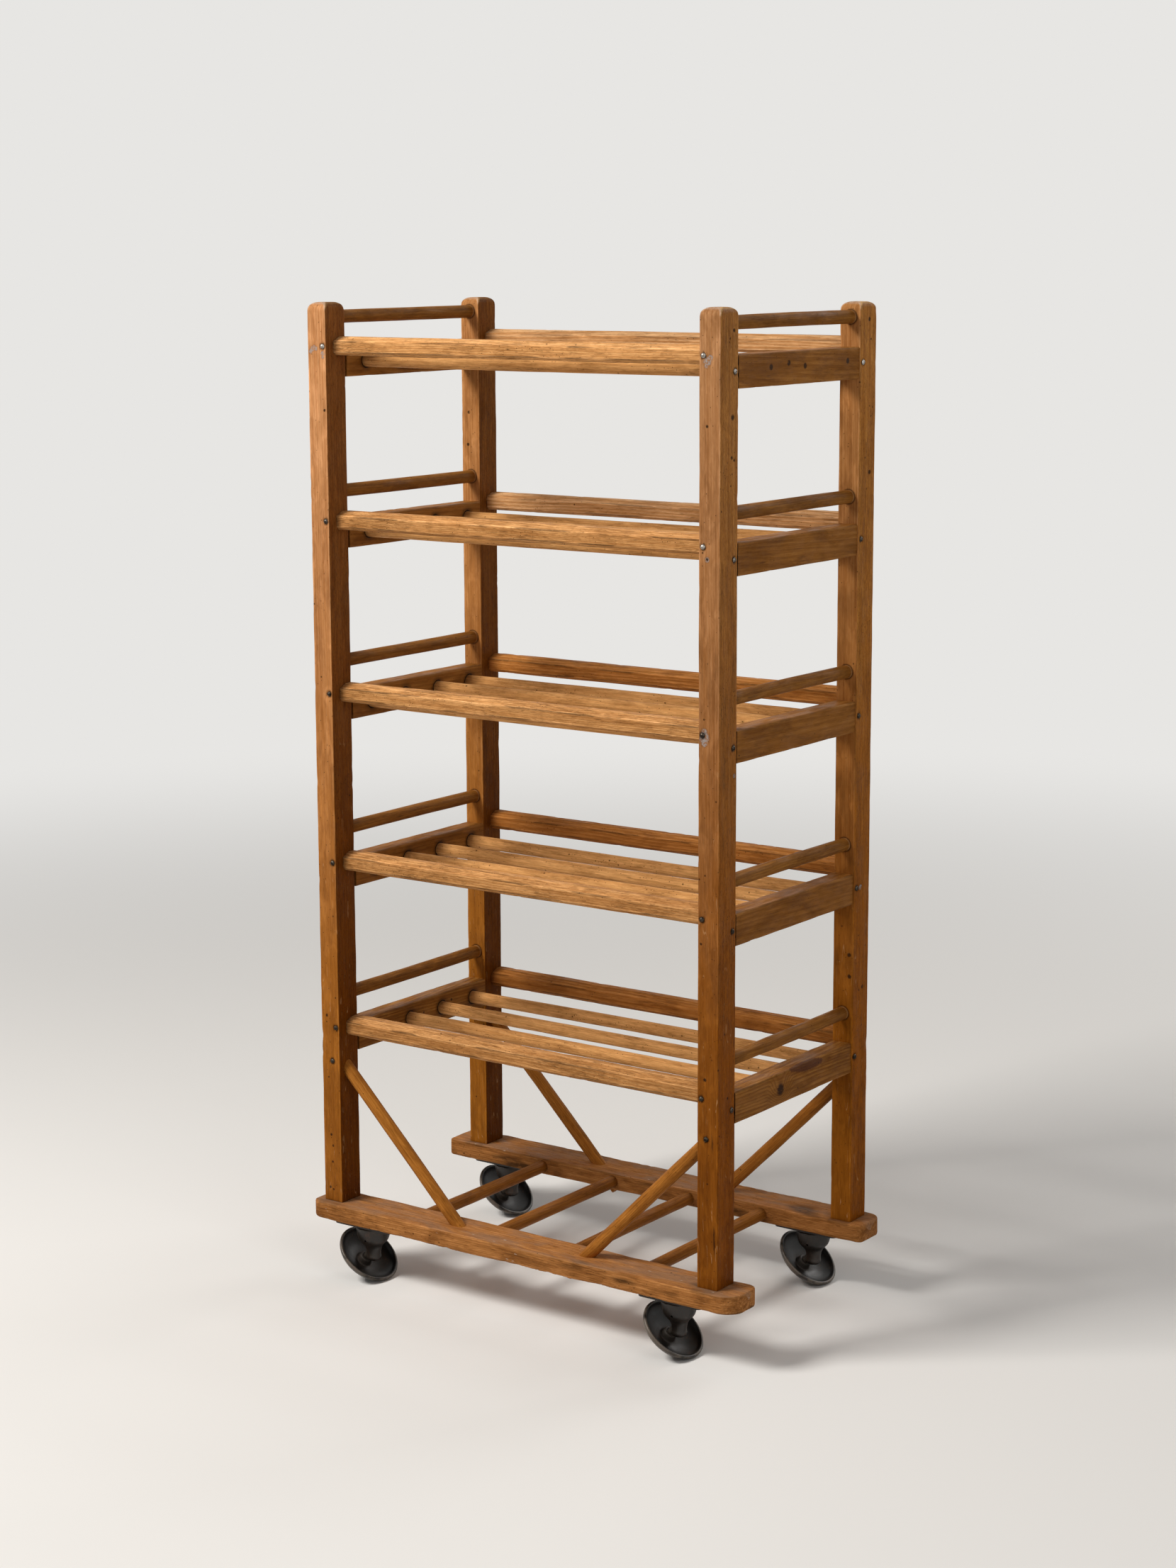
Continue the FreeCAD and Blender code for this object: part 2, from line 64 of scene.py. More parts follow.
BASE_DOWEL_HALF, BASE_DOWEL_Z = 0.189, 0.1135
BRACE_FEET = {"front_left": -0.131, "front_right": 0.136, "back_left": -0.133, "back_right": 0.133}
BRACE_TIPS = {"front_left": -0.021, "front_right": -0.039, "back_left": -0.041, "back_right": -0.021}
BRACE_Y, BRACE_HEAD_X = 0.205, 0.387
RAIL_SCREW_X, RAIL_SCREW_DROP = 0.371, 0.002
END_SCREW_Y, END_SCREW_DROP = 0.188, 0.0245
BRACE_SCREW_X = 0.380
CASTER_X = {"front_left": -0.313, "front_right": 0.317, "back_left": -0.330, "back_right": 0.315}
CASTER_Y = 0.207
WHEEL_TILT = math.radians(49.3)
WHEEL_CENTRE = (-0.010, -0.0573)
CORNERS = {"front_left": (-1.0, -1.0), "front_right": (-1.0, 1.0),      # signs of Y and of X
           "back_left": (1.0, -1.0), "back_right": (1.0, 1.0)}
SIDES = {"left": -1.0, "right": 1.0}


# ------------------------------------------------------------------ meshes from whole arrays
def add(name, data):
    """New object in the scene."""
    made = bpy.data.objects.new(name, data)
    bpy.context.scene.collection.objects.link(made)
    return made


def store(mesh, name, values):
    """Vector attribute of a mesh, one value a point."""
    layer = mesh.attributes.new(name, "FLOAT_VECTOR", "POINT")
    layer.data.foreach_set("vector", values.astype(np.float32).ravel())


def circle(count):
    """Angles of count points round a circle, and the points at radius 1."""
    turn = np.arange(count) * 2.0 * np.pi / count
    return turn, np.stack([np.cos(turn), np.sin(turn)], -1)


def ring_quads(here, ahead):
    """Quads between rings, given by their points' numbers, and the rings ahead of them."""
    return np.stack([here, np.roll(here, -1, 1), np.roll(ahead, -1, 1), ahead], -1).reshape(-1, 4)


def closed_skin(name, rows, low_pole, high_pole, fields):
    """Piece from a grid of rings, closed at both ends by a fan to one pole.

    rows is (rings, points, 3), each ring anticlockwise seen from the high end. fields maps an attribute
    name to its values on the rings, (rings, points, 3); the poles take their ring's mean.
    """
    rings, points = rows.shape[:2]
    spots = np.concatenate([rows.reshape(-1, 3), [low_pole, high_pole]])
    index = np.arange(rings * points).reshape(rings, points)
    quads = ring_quads(index[:-1], index[1:])
    first, last = index[0], index[-1]
    low = np.stack([np.full(points, rings * points), np.roll(first, -1), first], -1)
    high = np.stack([np.full(points, rings * points + 1), last, np.roll(last, -1)], -1)
    fans = np.concatenate([low, high])
    mesh = bpy.data.meshes.new(name)
    mesh.vertices.add(len(spots))
    mesh.vertices.foreach_set("co", spots.astype(np.float32).ravel())
    mesh.loops.add(quads.size + fans.size)
    mesh.loops.foreach_set("vertex_index", np.concatenate([quads.ravel(), fans.ravel()]).astype(np.int32))
    starts = np.concatenate([np.arange(len(quads)) * 4, quads.size + np.arange(len(fans)) * 3])
    mesh.polygons.add(len(starts))
    mesh.polygons.foreach_set("loop_start", starts.astype(np.int32))
    mesh.polygons.foreach_set("use_smooth", np.ones(len(starts), bool))
    mesh.update(calc_edges=True)
    mesh.validate()
    for key, values in fields.items():
        store(mesh, key, np.concatenate([values.reshape(-1, 3), [values[0].mean(0), values[-1].mean(0)]]))
    return add(name, mesh)


def settle(piece, material, body, slot, *stands_for):
    """Give a finished piece its material and its body, and hide the nodes that it stands for. slot is not
    used.
    """
    piece.data.materials.append(material)
    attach(piece, body)
    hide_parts(*stands_for)


def waves(places, length, count, seed):
    """Smooth random field between about -1 and 1: a sum of sines in random directions.

    Each sine has a wavelength near length and a random phase; length may be three numbers, one per axis.
    """
    draw = np.random.default_rng(seed)
    pitch = np.broadcast_to(np.asarray(length, float), (3,))
    vectors = draw.normal(size=(count, 3)) / pitch * 2.0 * np.pi / 1.7
    phases = draw.uniform(0, 2 * np.pi, count)
    return np.sin(places @ vectors.T + phases).sum(-1) / math.sqrt(count)


def corner_lines(corners):
    """Directions ahead and behind at each corner of outlines, the bisector, and half the angle there."""
    ahead = np.roll(corners, -1, 1) - corners
    ahead = ahead / np.linalg.norm(ahead, axis=2, keepdims=True)
    behind = np.roll(ahead, 1, 1)
    bisector = ahead - behind
    bisector = bisector / np.linalg.norm(bisector, axis=2, keepdims=True)
    half = np.arccos(np.clip(-(ahead * behind).sum(2), -1.0, 1.0)) / 2.0
    return ahead, behind, bisector, half


def rounded_outline(corners, radii, cells, arc):
    """Outline of a convex polygon with rounded corners, for many stations at once.

    At each corner both sides are cut back by radius / tan(half angle) and joined by an arc about the point
    radius / sin(half angle) along the bisector; the sides between are divided evenly. corners is
    (stations, corners, 2), anticlockwise. Returns points, outward directions and distances from an arris.
    """
    count = corners.shape[1]
    ahead, behind, bisector, half = corner_lines(corners)
    cut = radii / np.tan(half)
    centre = corners + bisector * (radii / np.sin(half))[..., None]
    start = np.arctan2(-behind[..., 0], behind[..., 1])
    points, outward, gaps = [], [], []
    for k in range(count):
        for t in np.linspace(0.0, 1.0, arc + 1):
            angle = start[:, k] + (np.pi - 2.0 * half[:, k]) * t
            direction = np.stack([np.cos(angle), np.sin(angle)], -1)
            points.append(centre[:, k] + radii[:, k, None] * direction)
            outward.append(direction)
            gaps.append(np.zeros(len(corners)))
        following = (k + 1) % count
        begin = corners[:, k] + ahead[:, k] * cut[:, k, None]
        end = corners[:, following] - ahead[:, k] * cut[:, following, None]
        span = np.linalg.norm(end - begin, axis=1)
        side_normal = np.stack([ahead[:, k, 1], -ahead[:, k, 0]], -1)
        for t in np.linspace(0.0, 1.0, cells[k % len(cells)] + 1)[1:-1]:
            points.append(begin + (end - begin) * t)
            outward.append(side_normal)
            gaps.append(span * min(t, 1.0 - t))
    return np.stack(points, 1), np.stack(outward, 1), np.stack(gaps, 1)


def bar_stations(low, high, step, ease, close):
    """Stations of a bar with quarter-round end arrises and flat ends.

    Returns positions, how far the outline is inset there, and how far it is drawn in towards its middle.
    close adds finer stations, a pair (place, reach) each.
    """
    body = np.arange(low + ease, high - ease, step)
    near = [np.arange(place - reach, place + reach, 0.0013) for place, reach in close]
    body = np.concatenate([body, *near])
    body = np.unique(np.round(body[(body > low + ease) & (body < high - ease)], 5))
    body = body[np.concatenate([[True], np.diff(body) > 0.0009])]
    body = np.concatenate([[low + ease], body, [high - ease]])
    turn = np.radians([0.0, 30.0, 60.0])
    rise = ease * (1.0 - np.cos(turn))
    inset = ease * (1.0 - np.sin(turn))
    flat = np.array([0.25, 0.6, 0.9])
    along = np.concatenate([[low] * 3, low + rise, body, high - rise[::-1], [high] * 3])
    insets = np.concatenate([[ease] * 3, inset, np.zeros(len(body)), inset[::-1], [ease] * 3])
    scale = np.concatenate([flat, np.ones(3 + len(body) + 3), flat[::-1]])
    return along, insets, scale


def press(rows, outward, dents, stretch=1.0):
    """Push dents into a surface: each sinks by depth * exp(-(distance / radius) ** 2) against outward.

    dents is (x, y, z, radius, depth) rows; stretch divides the distance along each axis, so that a dent
    runs further along the grain.
    """
    for x, y, z, radius, depth in dents:
        offset = (rows - np.array([x, y, z])) / stretch
        fall = np.exp(-(offset ** 2).sum(-1) / radius ** 2)
        rows = rows - outward * (depth * fall)[..., None]
    return rows


def nicks(rows, gaps, seed, count, radius, depth):
    """Random dents on the arrises: centres drawn from the points there, radii and depths from a range."""
    draw = np.random.default_rng(seed)
    where = np.argwhere(gaps < 1e-6)
    chosen = where[draw.integers(0, len(where), count)]
    spots = rows[chosen[:, 0], chosen[:, 1]]
    radii = draw.uniform(radius[0], radius[1], (count, 1))
    depths = draw.uniform(depth[0], depth[1], (count, 1))
    return np.concatenate([spots, radii, depths], 1)


def surface_fields(flat, far, pith, tilt, shift, wear_and_shade, outward):
    """Attributes of a bar: grain, wear with painted shade, and facing.

    The grain is the place across, moved off the pith and tilted by the place along, and the place along
    moved by shift. The wear attribute lists edge, grime with painted shade, and tone, which is partly painted
    shade and light.
    """
    grain = np.stack([flat[..., 0] + pith[0] + tilt * far, flat[..., 1] + pith[1], far + shift], -1)
    wear_and_shade = np.stack([np.broadcast_to(part, far.shape) for part in wear_and_shade], -1)
    return {"grain": grain, "wear_and_shade": wear_and_shade, "facing": outward}


AXES = {"x": ((0, 1, 0), (0, 0, 1), (1, 0, 0)),
        "y": ((0, 0, 1), (1, 0, 0), (0, 1, 0)),
        "z": ((1, 0, 0), (0, 1, 0), (0, 0, 1))}


def wooden_bar(name, axis, low, high, outline, arris, *, step, ease, cells, close, dents, nick, swell, pith,
               tilt, seed, arc=4, tone=0.0, grime=None, fray=None):
    """Sawn bar along one axis: its outline(s) is carried from low to high and then worn.

    outline gives the corners at each station and arris the radius at each corner. The faces swell and sink
    by a slow field of waves, the arrises get random nicks, and dents are pressed in. fray takes a further
    depth off the surface. The place attribute holds the place across and along the bar.
    """
    a_axis, b_axis, s_axis = (np.array(v, float) for v in AXES[axis])
    along, insets, scale = bar_stations(low, high, step, ease, close)
    corners = outline(along)
    radii = np.minimum(arris(along), 0.4 * np.linalg.norm(np.roll(corners, -1, 1) - corners, axis=2))
    _, _, bisector, half = corner_lines(corners)
    corners = corners + bisector * (insets[:, None] / np.sin(half))[..., None]
    middle = corners.mean(1, keepdims=True)
    corners = middle + (corners - middle) * scale[:, None, None]
    radii = np.maximum(radii - 0.4 * insets[:, None], 0.0004) * scale[:, None]
    flat, direction, gaps = rounded_outline(corners, radii, cells, arc)
    rows = flat[..., :1] * a_axis + flat[..., 1:] * b_axis + along[:, None, None] * s_axis
    outward = direction[..., :1] * a_axis + direction[..., 1:] * b_axis
    inside = scale[:, None]
    field = waves(rows, np.where(s_axis > 0.5, 0.16, 0.05), 9, seed) * swell * inside
    rows = rows + outward * field[..., None]
    if fray is not None:
        rows = rows - outward * (fray(rows, gaps) * inside)[..., None]
    rows = press(rows, outward, nicks(rows, gaps, seed + 1, *nick), np.where(s_axis > 0.5, 2.2, 1.0))
    rows = press(rows, outward, dents)
    across = flat - flat.mean((0, 1))
    far = along[:, None] * np.ones(flat.shape[1])
    # edge, grime with painted shade at the slits and joints, and tone, partly painted shade and light
    wear_and_shade = (np.exp(-gaps / 0.003), 0.0 if grime is None else grime(rows), tone)
    fields = surface_fields(across, far, pith, tilt, seed * 0.137, wear_and_shade, outward)
    fields["place"] = np.stack([across[..., 0], across[..., 1], far], -1)
    return closed_skin(name, rows, rows[0].mean(0), rows[-1].mean(0), fields)


def steady(corners):
    """Outline rule of a bar that has the same corners all along."""
    return lambda s: np.broadcast_to(corners, (len(s), len(corners), 2))


def worn_radii(base, extra, count, seed, length=0.11):
    """Arris rule: each corner's radius is its base plus a slow random swell along the bar."""
    draw = np.random.default_rng(seed)
    base = np.broadcast_to(np.asarray(base, float), (count,))
    phases = draw.uniform(0, 2 * np.pi, (count, 3))
    pitch = length * draw.uniform(0.6, 1.7, (count, 3))

    def rule(s):
        swing = np.sin(2 * np.pi * s[:, None, None] / pitch + phases).sum(-1) / 3.0
        return base * (1.0 + extra * swing)
    return rule


def joint_grime(share, axis, edge, reach, front_only=False):
    """Grime and painted shade rule: share at the joints, edge away from the middle, falling as exp(-distance
    / reach).
    """
    def rule(rows):
        out = -rows[..., axis] if front_only else np.abs(rows[..., axis])
        return share * np.exp(-np.clip(edge - out, 0.0, None) / reach)
    return rule


def round_bar(name, start, end, *, swell, bow, seed, step=0.0065, pith=(0.004, 0.003), tilt=0.004, tone=0.0,
              grime=None):
    """Turned dowel from start to end.

    Its radius swells by a slow field of waves, and its axis bows by bow * sin.
    """
    start, end = np.array(start, float), np.array(end, float)
    span = end - start
    length = np.linalg.norm(span)
    s_axis = span / length
    helper = np.array([0.0, 0.0, 1.0]) if abs(s_axis[2]) < 0.6 else np.array([0.0, 1.0, 0.0])
    a_axis = np.cross(helper, s_axis)
    a_axis = a_axis / np.linalg.norm(a_axis)
    b_axis = np.cross(s_axis, a_axis)
    along, insets, scale = bar_stations(0.0, length, step, 0.0015, ())
    ring = circle(28)[1]
    outward = ring[:, :1] * a_axis + ring[:, 1:] * b_axis
    size = (DOWEL - insets) * scale
    lean = np.random.default_rng(seed).uniform(0, 2 * np.pi)
    drift = bow * np.sin(np.pi * along / length)[:, None] * (np.cos(lean) * a_axis + np.sin(lean) * b_axis)
    middle = start + along[:, None] * s_axis + drift
    rows = middle[:, None] + outward[None] * size[:, None, None]
    field = waves(rows, 0.07, 7, seed) * swell * scale[:, None]
    rows = rows + outward[None] * field[..., None]
    far = along[:, None] * np.ones(len(ring))
    wear_and_shade = (0.25, 0.0 if grime is None else grime(rows), tone)
    fields = surface_fields(ring[None] * size[:, None, None], far, pith, tilt, seed * 0.211, wear_and_shade,
                            np.broadcast_to(outward, rows.shape))
    return closed_skin(name, rows, middle[0], middle[-1], fields)


def turned_piece(name, profile, segments, frame_of):
    """Surface of revolution: profile (radius, height) swept round a full turn in segments.

    The profile is a closed loop from the hub's top round the outside back to the hub; frame_of maps
    local points to the rack. The turn attribute holds radius, height and angle.
    """
    turn, ring = circle(segments)
    radius, height, angle = np.broadcast_arrays(profile[:, :1], profile[:, 1:], turn)
    local = np.stack([radius * ring[:, 0], radius * ring[:, 1], height], -1)
    index = np.arange(radius.size).reshape(radius.shape)
    quads = ring_quads(index, np.roll(index, -1, 0))
    mesh = bpy.data.meshes.new(name)
    mesh.from_pydata(frame_of(local.reshape(-1, 3)).tolist(), [], quads.tolist())
    mesh.polygons.foreach_set("use_smooth", np.ones(len(quads), bool))
    mesh.update()
    store(mesh, "turn", np.stack([radius, height, angle], -1))
    return add(name, mesh)


# ------------------------------------------------------------------ materials
DARKER = (0.44, 0.36, 0.26)        # what old varnish and dirt leave of each colour, and painted shade
PALER = (1.50, 1.62, 1.85)         # what rubbing does to it, and painted light
FLANK = (1.28, 1.18, 0.76)         # painted light: what the posts' outer sides make of it, brighter and yellower
INNER_SHADE = (0.43, 0.38, 0.34)   # painted shade on their inner sides
VEIN = (0.46, 0.30, 0.16)
# display colours that are laid over the wood
DUST, FLECK, CORE = (176, 146, 120), (200, 186, 168), (154, 146, 141)
CROWN_RUB, CROWN_TOP, SCRATCH = (196, 168, 144), (184, 154, 130), (200, 160, 116)
KNOT, STAIN, CRACK, MARK = (44, 24, 12), (72, 38, 26), (38, 21, 10), (36, 23, 14)
# the first and last of these are painted shade, in the dowels' holes and round the guard dowels; the middle
# one is dirt round the screws
HOLE_SHADE, HALO, RIM_SHADE = (20, 10, 5), (28, 16, 9), (30, 17, 9)


def tint(red, green, blue):
    """Linear colour, with alpha, of a display colour given in 0..255."""
    parts = [c / 255.0 for c in (red, green, blue)]
    linear = [p / 12.92 if p <= 0.04045 else ((p + 0.055) / 1.055) ** 2.4 for p in parts]
    return (*linear, 1.0)


class Nodes:
    """A node tree, with short calls for the nodes that it needs."""

    def __init__(self, tree):
        self.tree = tree

    def node(self, kind, inputs=(), **settings):
        """New node with its settings; inputs maps a socket's name or number to a value or a socket."""
        made = self.tree.nodes.new("ShaderNode" + kind)
        for key, value in settings.items():
            setattr(made, key, value)
        for key, value in dict(inputs).items():
            if isinstance(value, bpy.types.NodeSocket):
                self.tree.links.new(value, made.inputs[key])
            else:
                made.inputs[key].default_value = value
        return made

    def math(self, operation, *values):
        """Result of one Math node."""
        return self.node("Math", enumerate(values), operation=operation).outputs[0]

    def times(self, first, second):
        """Product of two numbers."""
        return self.math("MULTIPLY", first, second)

    def most(self, first, second):
        """The larger of two numbers."""
        return self.math("MAXIMUM", first, second)

    def vector(self, operation, first, second):
        """Result of one Vector Math node."""
        return self.node("VectorMath", {0: first, 1: second}, operation=operation).outputs[0]

    def away(self, place, spot):
        """Distance from place to a spot."""
        return self.node("VectorMath", {0: place, 1: spot}, operation="DISTANCE").outputs["Value"]

    def noise(self, place, scale, detail=2.0, roughness=0.5, distortion=0.0):
        """Noise value at place, which is first multiplied by scale, a number or one number per axis."""
        spread = self.vector("MULTIPLY", place, (scale,) * 3 if isinstance(scale, float) else scale)
        inputs = {"Vector": spread, "Scale": 1.0, "Detail": detail, "Roughness": roughness,
                  "Distortion": distortion}
        return self.node("TexNoise", inputs).outputs["Fac"]

    def ease(self, value, low, high, first=0.0, last=1.0):
        """Smooth step of value from first at low to last at high."""
        inputs = {"Value": value, "From Min": low, "From Max": high, "To Min": first, "To Max": last}
        return self.node("MapRange", inputs, interpolation_type="SMOOTHSTEP").outputs[0]

    def mix(self, factor, first, second):
        """Colour mixed from first to second by factor."""
        return self.node("Mix", {0: factor, 6: first, 7: second}, data_type="RGBA").outputs[2]

    def parts(self, vector):
        """The three parts of a vector."""
        return self.node("SeparateXYZ", {0: vector}).outputs

    def place(self):
        """Place in the rack."""
        return self.node("TexCoord").outputs["Object"]

    def seen(self):
        """1 for the rays that show the plain background: camera, glossy and transmission rays."""
        rays = self.node("LightPath").outputs
        return self.most(rays["Is Camera Ray"], self.most(rays["Is Glossy Ray"], rays["Is Transmission Ray"]))


class Finish(Nodes):
    """Node tree of one material. Its colour is built up by coats, one over the other."""

    def __init__(self, name, **shader):
        self.material = bpy.data.materials.new(name)
        self.material.use_nodes = True
        super().__init__(self.material.node_tree)
        self.shader = self.tree.nodes["Principled BSDF"]
        self.colour = None
        for key, value in shader.items():
            self.shader.inputs[key.replace("_", " ")].default_value = value

    def paint(self, amount, colour):
        """Cover with a display colour, as far as amount goes."""
        self.colour = self.mix(amount, self.colour, tint(*colour))

    def shade(self, amount, factors):
        """Multiply by three factors, as far as amount goes."""
        self.colour = self.mix(amount, self.colour, self.vector("MULTIPLY", self.colour, factors))

    def attribute(self, name):
        """A piece's own vector attribute."""
        return self.node("Attribute", attribute_name=name).outputs["Vector"]

    def spots(self, places, spread=1.6):
        """1 inside round marks, falling to 0 at spread radii; places is (x, y, z, radius) rows."""
        here = self.place()
        total = None
        for x, y, z, radius in places:
            mark = self.ease(self.away(here, (x, y, z)), radius * 0.75, radius * spread, 1.0, 0.0)
            total = mark if total is None else self.most(total, mark)
        return total

    def sprinkle(self, place, scale, share, near, far):
        """Scattered dots: a share of the cells of a Voronoi pattern hold one, fading from near to far."""
        cell = self.node("TexVoronoi", {"Vector": place, "Scale": scale, "Randomness": 1.0})
        chosen = self.math("LESS_THAN", self.parts(cell.outputs["Color"])[0], share)
        return self.times(chosen, self.ease(cell.outputs["Distance"], near, far, 1.0, 0.0))

    def finish(self, roughness, height, strength, distance):
        """Wire colour, roughness and bump height into the shader."""
        links = self.tree.links
        links.new(self.colour, self.shader.inputs["Base Color"])
        links.new(roughness, self.shader.inputs["Roughness"])
        bump = self.node("Bump", {"Height": height, "Strength": strength, "Distance": distance})
        links.new(bump.outputs[0], self.shader.inputs["Normal"])
        return self.material


class Timber(Finish):
    """A wood's finish, with the fields that its coats share.

    grain is the place across and along the grain; edge, grime with painted shade, and tone, which is
    partly painted shade and light, come from the wear attribute. turned is the direction that the surface
    faces; ahead, aside and upward are how far that is along Y, X and Z. cloud, patch, wave, quick and ragged
    are noises from slow to quick. Pores are short dark dashes along the grain, and late is the dark side of
    each growth ring.
    """

    def __init__(self, name, gloss, ring, knots, haze):
        super().__init__(name, Specular_IOR_Level=gloss, Specular_Tint=(1.0, 0.68, 0.34, 1.0))
        self.here = self.place()
        self.x, self.y, self.height = self.parts(self.here)
        self.grain = self.attribute("grain")
        self.edge, self.grime, self.tone = self.parts(self.attribute("wear_and_shade"))
        self.turned = self.parts(self.attribute("facing"))
        self.ahead = self.ease(self.math("ABSOLUTE", self.turned[1]), 0.5, 0.9)
        self.aside = self.ease(self.math("ABSOLUTE", self.turned[0]), 0.5, 0.9)
        self.upward = self.ease(self.turned[2], 0.35, 0.8)
        self.cloud = self.grained(24.0, 8.0, 4.0, 0.6, 0.6)
        self.patch = self.grained(220.0, 30.0, 4.0, 0.66, 0.6)
        self.wave = self.grained(230.0, 70.0, 3.0, 0.6, 0.8)
        self.quick = self.grained(70.0, 9.0, 2.0)
        self.ragged = self.grained(260.0, 130.0, 3.0, 0.7)
        self.fibre = self.grained(760.0, 15.0, 3.0, 0.68)
        self.calm = self.math("SUBTRACT", 1.0, self.times(self.ahead, haze))
        phase = self.growth(ring, knots)
        self.late = self.times(self.ease(phase, 0.25, 0.86), self.ease(phase, 0.90, 1.0, 1.0, 0.0))
        tick = self.grained(900.0, 60.0, 2.0, 0.6)
        sparse = self.ease(self.cloud, 0.40, 0.60, 0.25, 1.0)
        early = self.ease(phase, 0.05, 0.55, 1.0, 0.35)
        self.pore = self.times(self.ease(tick, 0.57, 0.64), self.times(sparse, early))

    def grained(self, across, along, *character):
        """Noise on the grain, with one scale across it and one along it."""
        return self.noise(self.grain, (across, across, along), *character)

    def growth(self, ring, knots):
        """Place within a growth ring, 0 to 1: the distance from the pith, bent by slow noise and by the
        knots, over the ring's width.
        """
        slow = self.grained(14.0, 2.2, 2.0)
        flat = self.vector("MULTIPLY", self.grain, (1.0, 1.0, 0.0))
        reach = self.node("VectorMath", {0: flat}, operation="LENGTH").outputs["Value"]
        reach = self.math("MULTIPLY_ADD", slow, 0.022, reach)
        reach = self.math("MULTIPLY_ADD", self.quick, 0.0018, reach)
        for x, y, z, radius in knots:
            bulge = self.ease(self.away(self.here, (x, y, z)), 0.0, radius * 5.0, 1.0, 0.0)
            reach = self.math("MULTIPLY_ADD", bulge, radius * 2.2, reach)
        return self.math("FRACT", self.math("DIVIDE", reach, ring))


def figure_and_shade(f, pale, main, low, rings, flame, streaks, strengths):
    """The wood's figure: rings and streaks, the low colour near the foot as painted shade, then blotches,
    mottle, ripples, fibres.
    """
    blotch, mottle, ripple, fibres = strengths
    f.colour = f.mix(f.times(f.late, rings), tint(*pale), tint(*main))
    streak = f.grained(190.0, 3.0, 3.0, 0.6)
    f.paint(f.ease(streak, 0.44, 0.60, 0.0, 0.6), main)
    # painted shade: the low colour darkens the posts towards the foot, where less light falls
    if low is not None:
        drop = f.math("MULTIPLY_ADD", f.cloud, 0.5, f.height)
        f.paint(f.ease(drop, 0.60, 1.85, 0.98, 0.0), low)
    f.shade(f.ease(f.cloud, 0.44, 0.62, 0.0, blotch), DARKER)
    f.shade(f.ease(f.patch, 0.50, 0.64, 0.0, mottle), DARKER)
    f.shade(f.ease(f.patch, 0.34, 0.47, mottle, 0.0), PALER)
    f.shade(f.times(f.ease(f.wave, 0.38, 0.50, ripple, 0.0), f.calm), DARKER)
    f.shade(f.times(f.ease(f.fibre, 0.42, 0.56, fibres, 0.0), f.calm), DARKER)
    if flame:
        lick = f.grained(130.0, 6.0, 3.0, 0.6, 1.2)
        f.shade(f.ease(lick, 0.52, 0.60, 0.0, flame), PALER)
    if streaks:
        vein = f.grained(230.0, 3.0, 3.0, 0.65)
        f.shade(f.ease(vein, 0.53, 0.62, 0.0, streaks), VEIN)


def rubbing_and_light(f, bare_and_highlight, haze, crowned, front, top_highlight):
    """Rubbed arrises that also carry a painted highlight, a painted sheen on the faces along Y, the rubbed
    crown, a painted highlight on the tops, painted shade on the fronts, and the tone of the piece.
    """
    # painted sheen: pale hazy patches on the faces along Y
    if haze:
        film = f.grained(60.0, 22.0, 3.0, 0.55, 0.5)
        f.shade(f.times(f.ease(film, 0.48, 0.64, 0.0, 0.40), f.ahead), PALER)
    # pale arrises: partly rubbed wear, partly a painted highlight along the edges
    rubbed_and_lit = f.times(f.ease(f.edge, 0.55, 0.95), f.ease(f.cloud, 0.34, 0.54))
    f.shade(f.times(rubbed_and_lit, bare_and_highlight), PALER)
    if crowned:
        broken = f.ease(f.patch, 0.36, 0.56, 0.85, 0.40)
        high = f.ease(f.height, POST_TOP - 0.016, POST_TOP - 0.008)
        spandrel = f.times(f.ease(f.edge, 0.80, 0.97), high)
        f.paint(f.times(spandrel, broken), CROWN_RUB)
        roll = f.ease(f.height, POST_TOP - 0.005, POST_TOP - 0.001)
        f.paint(f.times(roll, broken), CROWN_TOP)
    # painted shade: faces along Y darker than the tops and bevels that face the light
    if front:
        f.shade(f.times(f.ahead, front), DARKER)
    # painted highlight: faces turned upward made paler, as if lit from above
    if top_highlight:
        upward = f.times(f.upward, f.ease(f.patch, 0.40, 0.60, 1.0, 0.35))
        f.shade(f.times(upward, top_highlight), PALER)
    # the tone of the piece: set by shelf level it is painted shade on the lower shelves and painted light on
    # the upper ones
    f.shade(f.most(f.times(f.tone, -1.0), 0.0), PALER)
    f.shade(f.most(f.tone, 0.0), DARKER)


def sides(f, flank, ends, inner):
    """What sets the faces along X apart: painted light that makes the flanks brighter and yellower, dark end
    grain, and painted shade on the inner sides.
    """
    if flank:
        # painted light: the sides along X brighter and yellower
        f.shade(f.aside, FLANK)
        chip = f.grained(1000.0, 170.0, 2.0, 0.6)
        f.pore = f.most(f.pore, f.times(f.ease(chip, 0.54, 0.62, 0.0, 0.6), f.aside))
    if ends:
        f.shade(f.times(f.aside, ends), DARKER)
    # painted shade: the posts' inner sides, which the light hardly reaches
    if inner is not None:
        f.shade(f.ease(f.times(f.turned[0], inner), 0.5, 0.9), INNER_SHADE)


